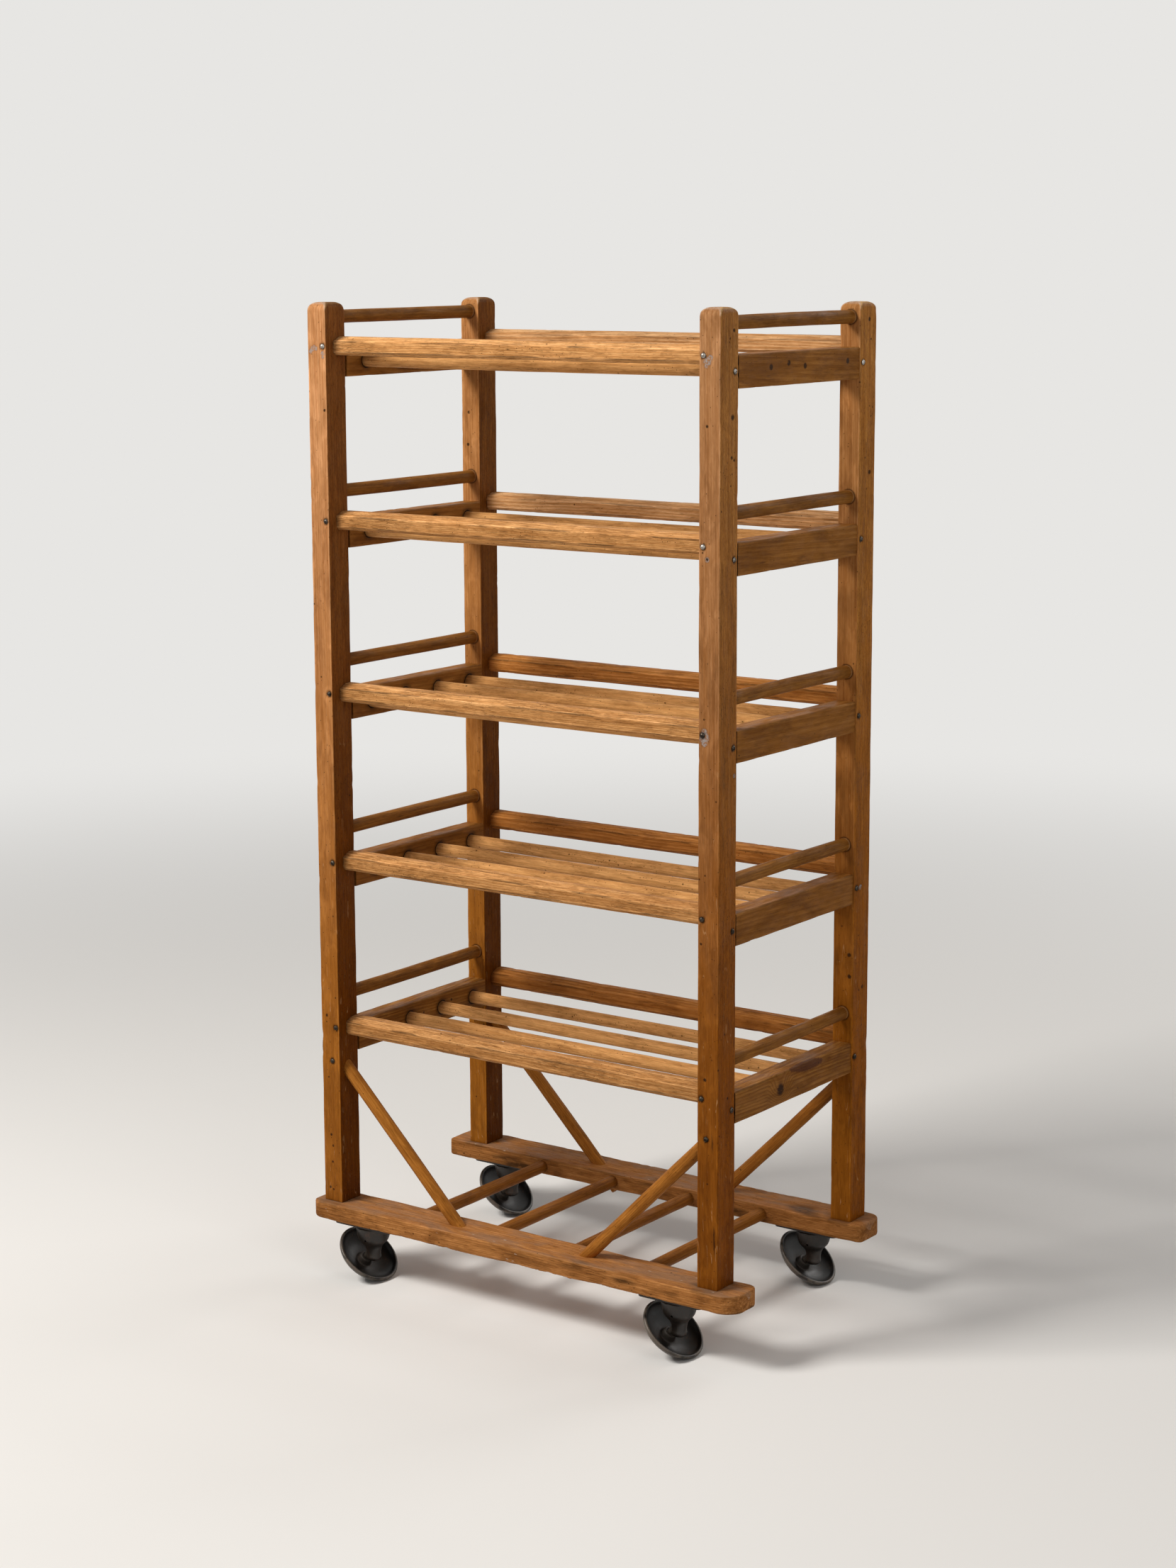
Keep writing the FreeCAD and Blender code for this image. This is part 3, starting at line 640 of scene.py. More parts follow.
def soiling_and_shade(f, pores, dirt_and_shade, edge_line, dust, specks, flecks):
    """Dirt in the pores and along the arrises; dirt and painted shade where the grime channel says, which
    paints the end rails' slits black and shades the joints; then dust, dark specks, pale flecks.
    """
    f.paint(f.times(f.pore, f.times(f.calm, pores)), dirt_and_shade)
    line = f.times(f.ease(f.edge, 0.66, 0.95), f.ease(f.quick, 0.47, 0.55))
    # the grime channel also paints shade: the end rails' slits black and the shade at the joints
    soil_and_shade = f.most(f.times(line, edge_line), f.times(f.grime, 0.9))
    soil_and_shade = f.times(soil_and_shade, f.ease(f.wave, 0.36, 0.54, 0.55, 1.0))
    f.paint(f.most(soil_and_shade, f.ease(f.grime, 0.93, 0.99)), dirt_and_shade)
    if dust:
        f.paint(f.times(f.upward, f.ease(f.cloud, 0.42, 0.62, 0.0, dust)), DUST)
    if specks:
        dots = f.most(f.sprinkle(f.grain, 95.0, specks, 0.10, 0.20),
                      f.sprinkle(f.grain, 240.0, specks * 1.6, 0.14, 0.26))
        f.paint(f.times(dots, 0.8), dirt_and_shade)
    if flecks:
        long = f.vector("MULTIPLY", f.grain, (1.0, 1.0, 0.35))
        dab = f.sprinkle(long, 260.0, flecks, 0.12, 0.40)
        dab = f.times(dab, f.ease(f.ragged, 0.46, 0.52))
        f.paint(f.times(dab, f.ease(f.cloud, 0.54, 0.60, 0.0, 0.8)), FLECK)


def dowel_holes(f, pitch, first):
    """Painted shade: dark rings round the dowels' holes, which repeat by pitch along Y on the inner face."""
    across = f.parts(f.attribute("place"))[0]
    nearest = f.math("WRAP", f.y, first + pitch / 2, first - pitch / 2)
    off = f.math("ADD", nearest, -first)
    away = f.math("SQRT", f.math("ADD", f.times(off, off), f.times(across, across)))
    away = f.math("MULTIPLY_ADD", f.math("SUBTRACT", f.ragged, 0.5), 0.0030, away)
    inward = f.ease(f.times(f.turned[0], f.x), -0.30, -0.15, 1.0, 0.0)
    shadow = f.most(f.ease(away, 0.0128, 0.0142, 0.95, 0.0), f.ease(away, 0.0130, 0.0220, 0.45, 0.0))
    f.paint(f.times(shadow, inward), HOLE_SHADE)


def torn_varnish(f, places):
    """Torn varnish: a dark surround and a pale core, both ragged."""
    torn = f.noise(f.here, 330.0, 4.0, 0.75, 0.6)
    f.shade(f.times(f.spots(places, 1.85), f.ease(torn, 0.36, 0.50, 0.0, 0.80)), DARKER)
    core = f.times(f.spots(places, 1.40), f.ease(torn, 0.42, 0.52))
    f.paint(f.times(core, 0.80), CORE)


def screw_halos(f, places):
    """Dark dirt round the screw heads."""
    halo = f.spots([(*spot, 0.0056) for spot in places], 1.55)
    halo = f.times(f.times(halo, f.ease(f.ragged, 0.40, 0.50)), 0.80)
    halo = f.most(halo, f.spots([(*spot, 0.0054) for spot in places], 0.95))
    f.paint(f.times(halo, 0.92), HALO)


def crack(f, slope, spot, low_end, high_end):
    """Ragged dark line x + slope * z = spot on a Y face, between two heights."""
    off = f.math("SUBTRACT", f.math("MULTIPLY_ADD", f.height, slope, f.x), spot)
    off = f.math("MULTIPLY_ADD", f.math("SUBTRACT", f.wave, 0.5), 0.0040, off)
    split = f.times(f.ease(f.math("ABSOLUTE", off), 0.0005, 0.0020, 0.85, 0.0), f.ahead)
    split = f.times(split, f.ease(f.height, high_end - 0.02, high_end, 1.0, 0.0))
    split = f.times(split, f.ease(f.height, low_end, low_end + 0.02))
    f.paint(f.times(split, f.ease(f.cloud, 0.42, 0.54)), CRACK)


def thin_scratches(f, strength):
    """Thin pale lines, along which a noise stretched with the grain passes its middle."""
    drift = f.grained(150.0, 7.0, 0.0, 0.5)
    thin = f.ease(f.math("ABSOLUTE", f.math("SUBTRACT", drift, 0.5)), 0.004, 0.014, 1.0, 0.0)
    where = f.ease(f.noise(f.here, (90.0, 90.0, 60.0), 2.0), 0.52, 0.60, 0.0, strength)
    below = f.ease(f.height, 0.50, 1.10, 1.0, 0.20)
    f.paint(f.times(f.times(thin, where), below), SCRATCH)


def surface(f, roughness, relief):
    """Roughness in slow patches, and relief from rings, fibres, ripples and pores."""
    uneven = f.grained(60.0, 20.0, 3.0, 0.6)
    raised = f.math("MULTIPLY_ADD", f.late, 0.30, f.times(f.fibre, 0.45))
    raised = f.math("MULTIPLY_ADD", f.wave, 0.6, raised)
    raised = f.math("MULTIPLY_ADD", f.pore, -0.5, raised)
    return f.finish(f.ease(uneven, 0.38, 0.62, *roughness), raised, relief, 0.0009)


def wood(name, pale, main, *, ring=0.0030, rings=0.55, fibres=0.5, pores=0.6, blotch=0.4, mottle=0.3,
         ripple=0.3, flame=0.0, bare_and_highlight=0.5, top_highlight=0.0, dirt_and_shade=(40, 22, 10), low=None, inner=None, flank=False,
         streaks=0.0, haze=0.0, front=0.0, specks=0.0, flecks=0.0, dust=0.0, marks=(), stains=(), scuffs=(),
         screws=(), knots=(), rim_shadows=(), cracks=(), holes=None, collar=None, ends=0.0, scratches=0.0,
         gloss=0.06, roughness=(0.42, 0.62), relief=0.55, edge_line=0.25):
    """Worn varnished wood, from its pale and main colours and how strong each of its coats is.

    ring is a growth ring's width and low the colour near the foot, which paints shade there. haze dims the
    ripples and pores of the faces along Y and lays a painted sheen on them, front darkens them as painted
    shade, and inner is the sign of the side along X that gets painted shade.
    holes gives the pitch and first place of the bars let into the inner face, round which shade is
    painted, and collar the colour that the guard dowels keep at their back ends. The rest are places of marks
    in the rack; the rims among them get painted shade.
    """
    f = Timber(name, gloss, ring, knots, haze)
    figure_and_shade(f, pale, main, low, rings, flame, streaks, (blotch, mottle, ripple, fibres))
    rubbing_and_light(f, bare_and_highlight, haze, low is not None, front, top_highlight)
    sides(f, flank, ends, inner)
    soiling_and_shade(f, pores, dirt_and_shade, edge_line, dust, specks, flecks)
    if knots:
        f.paint(f.times(f.spots(knots, 1.5), f.ease(f.ragged, 0.34, 0.50, 0.6, 1.0)), KNOT)
    if stains:
        blot = f.times(f.spots(stains, 1.2), f.ease(f.patch, 0.36, 0.52, 0.75, 1.0))
        f.paint(f.times(blot, 0.78), STAIN)
    if holes is not None:
        dowel_holes(f, *holes)
    if scuffs:
        torn_varnish(f, scuffs)
    if screws:
        screw_halos(f, screws)
    # painted shade round the guard dowels where they go into the posts
    if rim_shadows:
        f.paint(f.times(f.spots(rim_shadows, 0.92), 0.7), RIM_SHADE)
    if collar is not None:
        f.paint(f.ease(f.y, INNER_Y - 0.0050, INNER_Y - 0.0030, 0.0, 0.40), collar)
    if marks:
        f.paint(f.times(f.times(f.spots(marks, 1.45), f.ease(f.ragged, 0.36, 0.44)), 0.9), MARK)
    for line in cracks:
        crack(f, *line)
    if scratches:
        thin_scratches(f, scratches)
    return surface(f, roughness, relief)


def dark_iron(name, base, rub, *, dust=0.2, metallic=0.0, rust=0.25):
    """Old dark metal: a base colour with rubbed patches, a film of dust and a little rust."""
    f = Finish(name, Metallic=metallic, Specular_IOR_Level=0.5)
    here = f.place()
    cloud = f.noise(here, 38.0, 4.0, 0.62, 0.4)
    fine = f.noise(here, 420.0, 3.0, 0.6)
    spread = f.noise(here, 95.0, 4.0, 0.65, 0.8)
    up = f.parts(f.node("NewGeometry").outputs["Normal"])[2]
    f.colour = f.mix(f.ease(spread, 0.52, 0.70, 0.0, 0.5), tint(*base), tint(*rub))
    film = f.times(f.ease(up, -0.2, 0.9, 0.25, 1.0), f.ease(cloud, 0.35, 0.70))
    f.paint(f.times(film, dust), (112, 92, 72))
    f.paint(f.ease(f.times(cloud, fine), 0.30, 0.42, 0.0, rust), (84, 46, 26))
    height = f.math("MULTIPLY_ADD", fine, 0.4, spread)
    return f.finish(f.ease(cloud, 0.3, 0.7, 0.34, 0.52), height, 0.35, 0.0004)


def wheel_enamel():
    """Black satin enamel on a pressed wheel: worn bright at the lip, with a painted highlight there, grimy
    round the hub.

    The turn attribute gives the distance from the axis, so bands and wear follow the wheel.
    """
    f = Finish("wheel_enamel", Specular_IOR_Level=0.4, Metallic=0.2)
    radius, height, _ = f.parts(f.attribute("turn"))
    here = f.place()
    cloud = f.noise(here, 42.0, 4.0, 0.6, 0.5)
    fine = f.noise(here, 380.0, 3.0, 0.6)
    lip = f.times(f.ease(radius, 0.0515, 0.0540), f.ease(cloud, 0.30, 0.60))
    hub = f.ease(radius, 0.012, 0.026, 1.0, 0.0)
    tread = f.times(f.ease(radius, 0.0440, 0.0510), f.ease(height, -0.010, -0.016))
    f.colour = f.mix(f.ease(cloud, 0.45, 0.70, 0.0, 0.6), tint(18, 15, 12), tint(28, 23, 18))
    f.paint(f.times(hub, 0.6), (42, 33, 24))
    # the pale lip is partly worn enamel and partly a painted highlight on its rounded edge
    f.paint(f.times(lip, 0.8), (100, 90, 80))
    f.paint(f.times(tread, 0.5), (70, 63, 56))
    f.paint(f.ease(f.times(cloud, fine), 0.30, 0.44, 0.0, 0.35), (92, 60, 38))
    bright = f.math("MULTIPLY_ADD", hub, 0.22, f.ease(cloud, 0.3, 0.7, 0.30, 0.48))
    lathed = f.noise(f.node("CombineXYZ", {0: radius, 1: height}).outputs[0], (900.0, 900.0, 1.0), 2.0)
    return f.finish(bright, f.math("MULTIPLY_ADD", lathed, 0.5, fine), 0.25, 0.0004)


def screw_steel():
    """Dull round-head steel: zinc grey high on the rack, dark tarnish lower down, and a trace of rust."""
    f = Finish("screw_steel", Metallic=1.0)
    here = f.place()
    cloud = f.noise(here, 260.0, 3.0, 0.6, 0.5)
    each = f.noise(here, 5.0, 1.0, 0.5)
    fine = f.noise(here, 1500.0, 3.0, 0.6)
    high = f.math("MULTIPLY_ADD", each, 0.5, f.parts(here)[2])
    old = f.mix(f.ease(cloud, 0.40, 0.62), tint(74, 67, 59), tint(38, 32, 27))
    zinc = f.mix(f.ease(cloud, 0.44, 0.66), tint(168, 164, 158), tint(92, 84, 76))
    f.colour = f.mix(f.ease(high, 1.48, 1.66, 1.0, 0.0), zinc, old)
    f.paint(f.ease(fine, 0.60, 0.72, 0.0, 0.5), (56, 42, 32))
    return f.finish(f.ease(cloud, 0.3, 0.7, 0.34, 0.58), fine, 0.3, 0.0002)


def marks_on(axis, level, rows):
    """Marks (x, y, z, radius) on the plane at level along axis 0 or 1, from (across, height, radius) rows."""
    return [(level, *row) if axis == 0 else (row[0], level, *row[1:]) for row in rows]


rail_wood = wood("rail_wood", (222, 166, 106), (196, 136, 78), rings=0.80, fibres=0.34, pores=0.66,
                 blotch=0.34, mottle=0.26, ripple=0.32, flame=0.22, bare_and_highlight=0.7, top_highlight=0.40, front=0.22,
                 specks=0.05, roughness=(0.50, 0.70), relief=1.0, edge_line=0.65)
BACK_RAIL_GRAIN_AND_LIGHT = dict(ring=0.0060, pores=0.5, mottle=0.25, ripple=0.15, flame=0.2, top_highlight=0.2, specks=0.03,
                      roughness=(0.50, 0.70), relief=0.6)
back_rail_wood = wood("back_rail_wood", (202, 138, 74), (172, 108, 48), rings=0.80, fibres=0.36, blotch=0.40,
                      edge_line=0.6, **BACK_RAIL_GRAIN_AND_LIGHT)
# painted light: a paler copy of the back rail wood for the two upper back rails
high_rail_wood = wood("high_rail_wood", (214, 166, 116), (184, 130, 78), rings=0.95, fibres=0.4, blotch=0.30,
                      edge_line=0.5, **BACK_RAIL_GRAIN_AND_LIGHT)
dowel_wood = wood("dowel_wood", (224, 169, 107), (198, 141, 82), ring=0.0018, rings=0.5, fibres=0.35,
                  pores=0.7, blotch=0.38, mottle=0.28, ripple=0.10, top_highlight=0.2, specks=0.09,
                  dirt_and_shade=(58, 32, 14), roughness=(0.48, 0.66), relief=0.4)
brace_wood = wood("brace_wood", (172, 112, 47), (148, 89, 32), ring=0.0018, rings=0.5, fibres=0.35,
                  pores=0.5, blotch=0.4, mottle=0.25, ripple=0.12, specks=0.03, relief=0.4)
guard_wood = wood("guard_wood", (148, 98, 42), (126, 78, 28), ring=0.0020, rings=0.5, fibres=0.30, pores=0.5,
                  blotch=0.42, mottle=0.25, ripple=0.12, top_highlight=0.15, specks=0.04, dirt_and_shade=(30, 16, 6),
                  relief=0.4, collar=(172, 134, 94))
END_RAIL_DIRT_AND_LIGHT = dict(top_highlight=0.35, dirt_and_shade=(28, 14, 4), holes=(SHELF_DOWEL_PITCH, SHELF_DOWEL_Y[0]))
END_MARKS = marks_on(0, END_RAIL_OUTER_X, [(-0.0842, 1.5596, 0.0044), (-0.0333, 1.5641, 0.0042),
                                           (0.0146, 1.5580, 0.0042), (0.1429, 1.5610, 0.0042)])
end_rail_wood = wood("end_rail_wood", (162, 108, 50), (140, 88, 34), ring=0.0056, rings=0.7, fibres=0.25,
                     pores=0.35, blotch=0.5, mottle=0.22, ripple=0.08, specks=0.02, relief=0.3,
                     marks=END_MARKS, **END_RAIL_DIRT_AND_LIGHT)
FIRST_MARKS = [*marks_on(0, -INNER_X, [(0.0806, 0.4215, 0.0022), (0.0019, 0.4152, 0.0018),
                                       (0.0175, 0.4002, 0.0020)]),
               *marks_on(0, END_RAIL_OUTER_X, [(0.076, 0.4290, 0.0012), (0.012, 0.4020, 0.0012)])]
FIRST_STAIN = [(-0.006 + 0.008 * k, 0.4375 - 0.0006 * k, 0.0052 + 0.0050 * math.sin(k * 0.285))
               for k in range(12)]
first_end_rail_wood = wood("first_end_rail_wood", (166, 114, 54), (136, 84, 32), ring=0.0042, rings=0.85,
                           fibres=0.3, pores=0.4, blotch=0.45, mottle=0.25, ripple=0.1, relief=0.4,
                           knots=[(END_RAIL_OUTER_X, -0.0413, 0.4120, 0.0085)], marks=FIRST_MARKS,
                           stains=marks_on(0, END_RAIL_OUTER_X, FIRST_STAIN), **END_RAIL_DIRT_AND_LIGHT)
runner_wood = wood("runner_wood", (174, 118, 66), (150, 96, 49), ring=0.0034, fibres=0.26, blotch=0.55,
                   mottle=0.42, ripple=0.24, flame=0.15, bare_and_highlight=0.6, top_highlight=0.08, dust=0.28, ends=0.9,
                   dirt_and_shade=(34, 20, 10), specks=0.040, flecks=0.10, roughness=(0.56, 0.76), relief=0.6)
# pale, main and low colour of each post; the low colour is painted shade towards the foot
POST_COLOURS = {
    "front_left": ((192, 138, 92), (174, 116, 70), (146, 88, 28)),
    "front_right": ((170, 122, 80), (152, 102, 60), (122, 68, 14)),
    "back_left": ((184, 130, 80), (162, 106, 56), (142, 86, 24)),
    "back_right": ((176, 124, 74), (156, 102, 54), (134, 78, 18)),
}
POST_MARKS = {
    "front_left": marks_on(1, -HALF_Y, [
        (-0.3693, 1.4780, 0.0022), (-0.3905, 0.4560, 0.0024), (-0.3890, 0.3480, 0.0016),
        (-0.3860, 0.2460, 0.0022), (-0.3820, 0.2270, 0.0020), (-0.3840, 0.1980, 0.0020),
        (-0.3900, 0.1520, 0.0022), (-0.3830, 0.1490, 0.0018)]),
    "front_right": marks_on(1, -HALF_Y, [
        (0.3779, 1.4768, 0.0022), (0.3786, 1.2777, 0.0022), (0.3695, 0.6835, 0.0020),
        (0.3775, 0.4678, 0.0028)]) + marks_on(0, HALF_X, [
            (-0.1939, 1.4891, 0.0040), (-0.1905, 1.6180, 0.0028), (-0.2010, 1.6060, 0.0018),
            (-0.2030, 1.6010, 0.0016), (-0.1960, 1.4290, 0.0026), (-0.1890, 1.4250, 0.0020),
            (-0.1990, 0.4359, 0.0022), (-0.2084, 0.5402, 0.0018)]),
    "back_left": marks_on(1, INNER_Y, [(-0.3869, 1.4543, 0.0026), (-0.3897, 1.3982, 0.0026)]),
    "back_right": marks_on(0, HALF_X, [
        (0.2066, 1.6246, 0.0032), (0.2129, 1.3810, 0.0034), (0.2125, 1.5930, 0.0018),
        (0.2110, 0.5290, 0.0030)]) + marks_on(1, INNER_Y, [
            (0.3940, 0.5878, 0.0032), (0.3950, 0.5515, 0.0034)]),
}
POST_SCUFFS = {
    "front_left": marks_on(1, -HALF_Y, [
        (-0.3962, 1.5730, 0.0030), (-0.3925, 1.5772, 0.0036), (-0.3882, 1.5796, 0.0034),
        (-0.3845, 1.5778, 0.0030), (-0.3705, 1.5697, 0.0036), (-0.3702, 1.5640, 0.0024)]),
    "front_right": marks_on(1, -HALF_Y, [
        (0.3785, 1.5729, 0.0060), (0.3840, 1.5782, 0.0040), (0.3772, 1.5660, 0.0032),
        (0.3743, 1.0060, 0.0080), (0.3748, 0.9970, 0.0045), (0.3745, 1.0150, 0.0045),
        (0.3789, 1.2774, 0.0035)]) + marks_on(0, HALF_X, [(-0.186, 0.9440, 0.0030)]),
    "back_left": [(-0.378, HALF_Y, 1.3010, 0.0050)],
    "back_right": [(0.377, HALF_Y, 1.0120, 0.0050), (HALF_X, 0.2000, 0.7000, 0.0040)],
}
POST_CRACKS = {"front_right": [(0.0204, 0.40012, 0.180, 0.330), (0.0204, 0.39980, 0.345, 0.400)]}
swivel_iron = dark_iron("swivel_iron", (23, 18, 14), (38, 30, 23), dust=0.24, rust=0.35)
plate_steel = dark_iron("plate_steel", (26, 22, 19), (42, 36, 30), dust=0.25, metallic=0.3)
axle_steel = dark_iron("axle_steel", (92, 84, 76), (120, 112, 102), metallic=0.8)
enamel = wheel_enamel()
steel = screw_steel()


# ------------------------------------------------------------------ marks pressed into the wood
def screw_dents(spots, axis, seed):
    """Worn hollow round each screw head, and one to three bruises beside it."""
    draw = np.random.default_rng(seed)
    rows = []
    for spot in spots:
        rows.append((*spot, 0.0058, 0.0010))
        for _ in range(int(draw.integers(1, 4))):
            shift = draw.uniform(-0.010, 0.010, 3)
            shift[axis] = 0.0
            size = draw.uniform(0.0018, 0.0040)
            rows.append((*(np.array(spot) + shift), size, draw.uniform(0.0004, 0.0010)))
    return rows


def bruises(count, box, seed, radius=(0.002, 0.006), depth=(0.0002, 0.0006)):
    """Random shallow dents inside a box ((x0, x1), (y0, y1), (z0, z1))."""
    draw = np.random.default_rng(seed)
    spots = np.stack([draw.uniform(low, high, count) for low, high in box], -1)
    sizes = draw.uniform(*radius, (count, 1))
    depths = draw.uniform(*depth, (count, 1))
    return np.concatenate([spots, sizes, depths], 1)


def quarter(over, radius):
    """Loss of a side past the start of a quarter-circle corner: radius - sqrt(radius**2 - over**2)."""
    over = np.clip(over, 0.0, radius)
    return radius - np.sqrt(radius ** 2 - over ** 2)


# ------------------------------------------------------------------ posts
CROWN_X, CROWN_Y = 0.0100, 0.0135     # radii of the crown, seen from the front and from the side
CROWN_RISE, CROWN_CUT = 0.018, 0.0060


def post_outline(x, y):
    """Outline rule of a post: its half widths shrink as quarter circles at the crown."""
    signs = np.array([(1, 1), (-1, 1), (-1, -1), (1, -1)], float)

    def rule(s):
        halves = np.stack([POST_X / 2 - quarter(s - (POST_TOP - CROWN_X), CROWN_X),
                           POST_Y / 2 - quarter(s - (POST_TOP - CROWN_Y), CROWN_Y)], -1)
        return np.array([x, y]) + signs * halves[:, None]
    return rule


def crown_radii(seed):
    """Arris rule of a post: worn_radii, and over the crown a quarter ellipse up to CROWN_CUT more."""
    worn = worn_radii(0.0014, 0.4, 4, seed)

    def rule(s):
        over = np.clip((s - (POST_TOP - CROWN_RISE)) / CROWN_RISE, 0.0, 1.0)
        return worn(s) + CROWN_CUT * (1.0 - np.sqrt(1.0 - over ** 2))[:, None]
    return rule


for index, (corner, (face, side)) in enumerate(CORNERS.items()):
    x = side * (HALF_X - POST_X / 2)
    y = face * (HALF_Y - POST_Y / 2)
    rail_screws = [(side * RAIL_SCREW_X, face * HALF_Y, DECK + top + lift - RAIL_SCREW_DROP)
                   for top, lift in zip(SHELF_TOPS, FRONT_LIFTS if face < 0 else BACK_LIFTS)]
    end_screws = [(side * HALF_X, face * END_SCREW_Y, DECK + top - END_SCREW_DROP) for top in SHELF_TOPS]
    brace_screw = (side * BRACE_SCREW_X, face * HALF_Y, DECK + BRACE_SCREW_X - abs(BRACE_FEET[corner]))
    screws = rail_screws + end_screws + [brace_screw]
    face_box = ((x - POST_X / 2, x + POST_X / 2), (y + face * POST_Y / 2,) * 2, (DECK, POST_TOP))
    side_box = ((x + side * POST_X / 2,) * 2, (y - POST_Y / 2, y + POST_Y / 2), (DECK, POST_TOP))
    dents = np.concatenate([
        screw_dents(rail_screws + [brace_screw], 1, 40 + index), screw_dents(end_screws, 0, 60 + index),
        [(*spot, radius * 1.3, 0.0014) for *spot, radius in POST_MARKS[corner]],
        bruises(46, face_box, 80 + index), bruises(34, side_box, 90 + index)])
    # painted shade rings round the guard dowels on the posts
    guard_rim_shadows = [(side * GUARD_DOWEL_X, face * INNER_Y, DECK + top + rise, 0.0155)
                  for top, rise in zip(SHELF_TOPS, GUARD_RISES)]
    pale, main, low = POST_COLOURS[corner]
    post_wood = wood("post_wood_" + corner, pale, main, low=low, ring=0.0046, rings=0.45, fibres=0.36,
                     blotch=0.38, mottle=0.23, ripple=0.22, bare_and_highlight=0.7, inner=-side, flank=True, streaks=0.22,
                     haze=0.7, specks=0.045, marks=POST_MARKS[corner], scuffs=POST_SCUFFS[corner],
                     screws=screws, rim_shadows=guard_rim_shadows, cracks=POST_CRACKS.get(corner, ()), scratches=0.30,
                     gloss=0.035, roughness=(0.36, 0.56), relief=0.45)
    post = wooden_bar("worn_post_" + corner, "z", DECK, POST_TOP, post_outline(x, y),
                      crown_radii(20 + index), step=0.0045, ease=0.0008, cells=(12, 15), arc=5,
                      close=[(spot[2], 0.012) for spot in screws] + [(POST_TOP - 0.009, 0.0095)],
                      dents=dents, nick=(34, (0.0016, 0.004), (0.0002, 0.0008)), swell=0.00014,
                      pith=(0.050 * side + 0.01 * index, 0.035), tilt=0.012, seed=11 + index)
    settle(post, post_wood, "rack", "post_wood", "post_" + corner)


# ------------------------------------------------------------------ rails
# a long rail from its front face: the top front arris is planed off and the lower one broken
RAIL_OUTLINE = np.array([(RAIL_DEPTH, RAIL_OVER), (0.015, RAIL_OVER), (0.0, 0.006), (0.0, -0.012),
                         (0.005, RAIL_UNDER), (RAIL_DEPTH, RAIL_UNDER)])
# tones of the end rails by shelf level: painted shade, deepest on the lowest shelf
END_TONES = (0.34, 0.34, 0.20, 0.12, 0.0)
RAIL_TILTS = (0.014, 0.010, -0.006, 0.030, 0.005)
# by shelf level the tones paint shade on the lower shelves and light on the upper ones
LONG_RAILS = {                    # place of the front face, lifts, tones, woods, first seed
    "front": (FRONT_RAIL_FACE_Y, FRONT_LIFTS, (0.34, 0.20, 0.12, 0.12, -0.15), (rail_wood,) * 5, 100),
    "back": (BACK_RAIL_FACE_Y, BACK_LIFTS, (0.50, 0.30, -0.05, -0.14, -0.06),
             (back_rail_wood,) * 3 + (high_rail_wood,) * 2, 105),
}


def slit_grime(side):
    """Painted-shade rule of an end rail: its front end, seen through the gap between rail and post, is
    painted black as the shade in that gap.
    """
    return lambda rows: np.where(rows[..., 1] < END_RAIL_FRONT_Y + 0.0004, 1.0 if side > 0 else 0.5, 0.0)


for level, top in enumerate(SHELF_TOPS):
    for name, (face_y, lifts, tones, woods, first_seed) in LONG_RAILS.items():
        height = DECK + top + lifts[level]
        seed = first_seed + 10 * level
        box = ((-0.36, 0.36), (face_y,) * 2, (height - 0.012, height + 0.006))
        cap = ((-0.36, 0.36), (face_y, face_y + RAIL_DEPTH), (height + 0.012,) * 2)
        rail = wooden_bar("worn_%s_rail_%d" % (name, level + 1), "x", -INNER_X - 0.002, INNER_X + 0.002,
                          steady(RAIL_OUTLINE + (face_y, height)),
                          worn_radii([0.0016, 0.0016, 0.0018, 0.0014, 0.0014, 0.0014], 0.45, 6, seed),
                          step=0.004, ease=0.0004, cells=(6, 7, 9, 3, 8, 8), arc=3,
                          dents=np.concatenate([bruises(44, box, seed), bruises(34, cap, seed + 1)]),
                          close=[(-INNER_X, 0.005), (INNER_X, 0.005)],
                          nick=(44, (0.0012, 0.0036), (0.0002, 0.0008)), swell=0.0002,
                          grime=joint_grime(0.95, 0, INNER_X, 0.0020),
                          pith=(0.045 - 0.012 * level, 0.030 + 0.004 * level), tilt=RAIL_TILTS[level],
                          tone=tones[level], seed=seed)
        settle(rail, woods[level], "rack", "rail_wood", "%s_rail_%d" % (name, level + 1))
    height = DECK + top
    for name, side in SIDES.items():
        inner_x, outer_x = side * INNER_X, side * (INNER_X + END_RAIL_THICKNESS)
        low_x, high_x = sorted((inner_x, outer_x))
        under = height - END_RAIL_HEIGHT
        seed = 200 + 10 * level + (0 if side < 0 else 5)
        holes = [(inner_x, y, height - SHELF_DOWEL_DROP, 0.0125, 0.0022) for y in SHELF_DOWEL_Y]
        inner, outer = (((x, x), (-0.17, 0.17), (height - 0.05, height)) for x in (inner_x, outer_x))
        rail = wooden_bar("worn_end_rail_%s_%d" % (name, level + 1), "y", END_RAIL_FRONT_Y, INNER_Y + 0.0005,
                          steady([(height, high_x), (under, high_x), (under, low_x), (height, low_x)]),
                          worn_radii(0.0022, 0.4, 4, seed), step=0.004, ease=0.0006, cells=(10, 14), arc=3,
                          dents=np.concatenate([holes, bruises(20, inner, seed),
                                                bruises(24, outer, seed + 1)]),
                          close=[(-0.1735, 0.002)], nick=(12, (0.0015, 0.005), (0.0002, 0.0005)),
                          swell=0.00012, pith=(0.05, 0.028 + 0.006 * level), tilt=0.03, seed=seed,
                          grime=slit_grime(side), tone=END_TONES[level])
        settle(rail, end_rail_wood if level else first_end_rail_wood, "rack", "end_rail_wood",
               "end_rail_%s_%d" % (name, level + 1))


# ------------------------------------------------------------------ dowels and braces
def straight_dowel(name, axis, x, y, z, half, material, slot, node, **wear_and_shade):
    """Dowel along axis 0 or 1, half long each way from x, y, z, in place of a node."""
    start, end = np.array([x, y, z], float), np.array([x, y, z], float)
    start[axis] = -half
    end[axis] = half
    settle(round_bar(name, start, end, **wear_and_shade), material, "rack", slot, node)


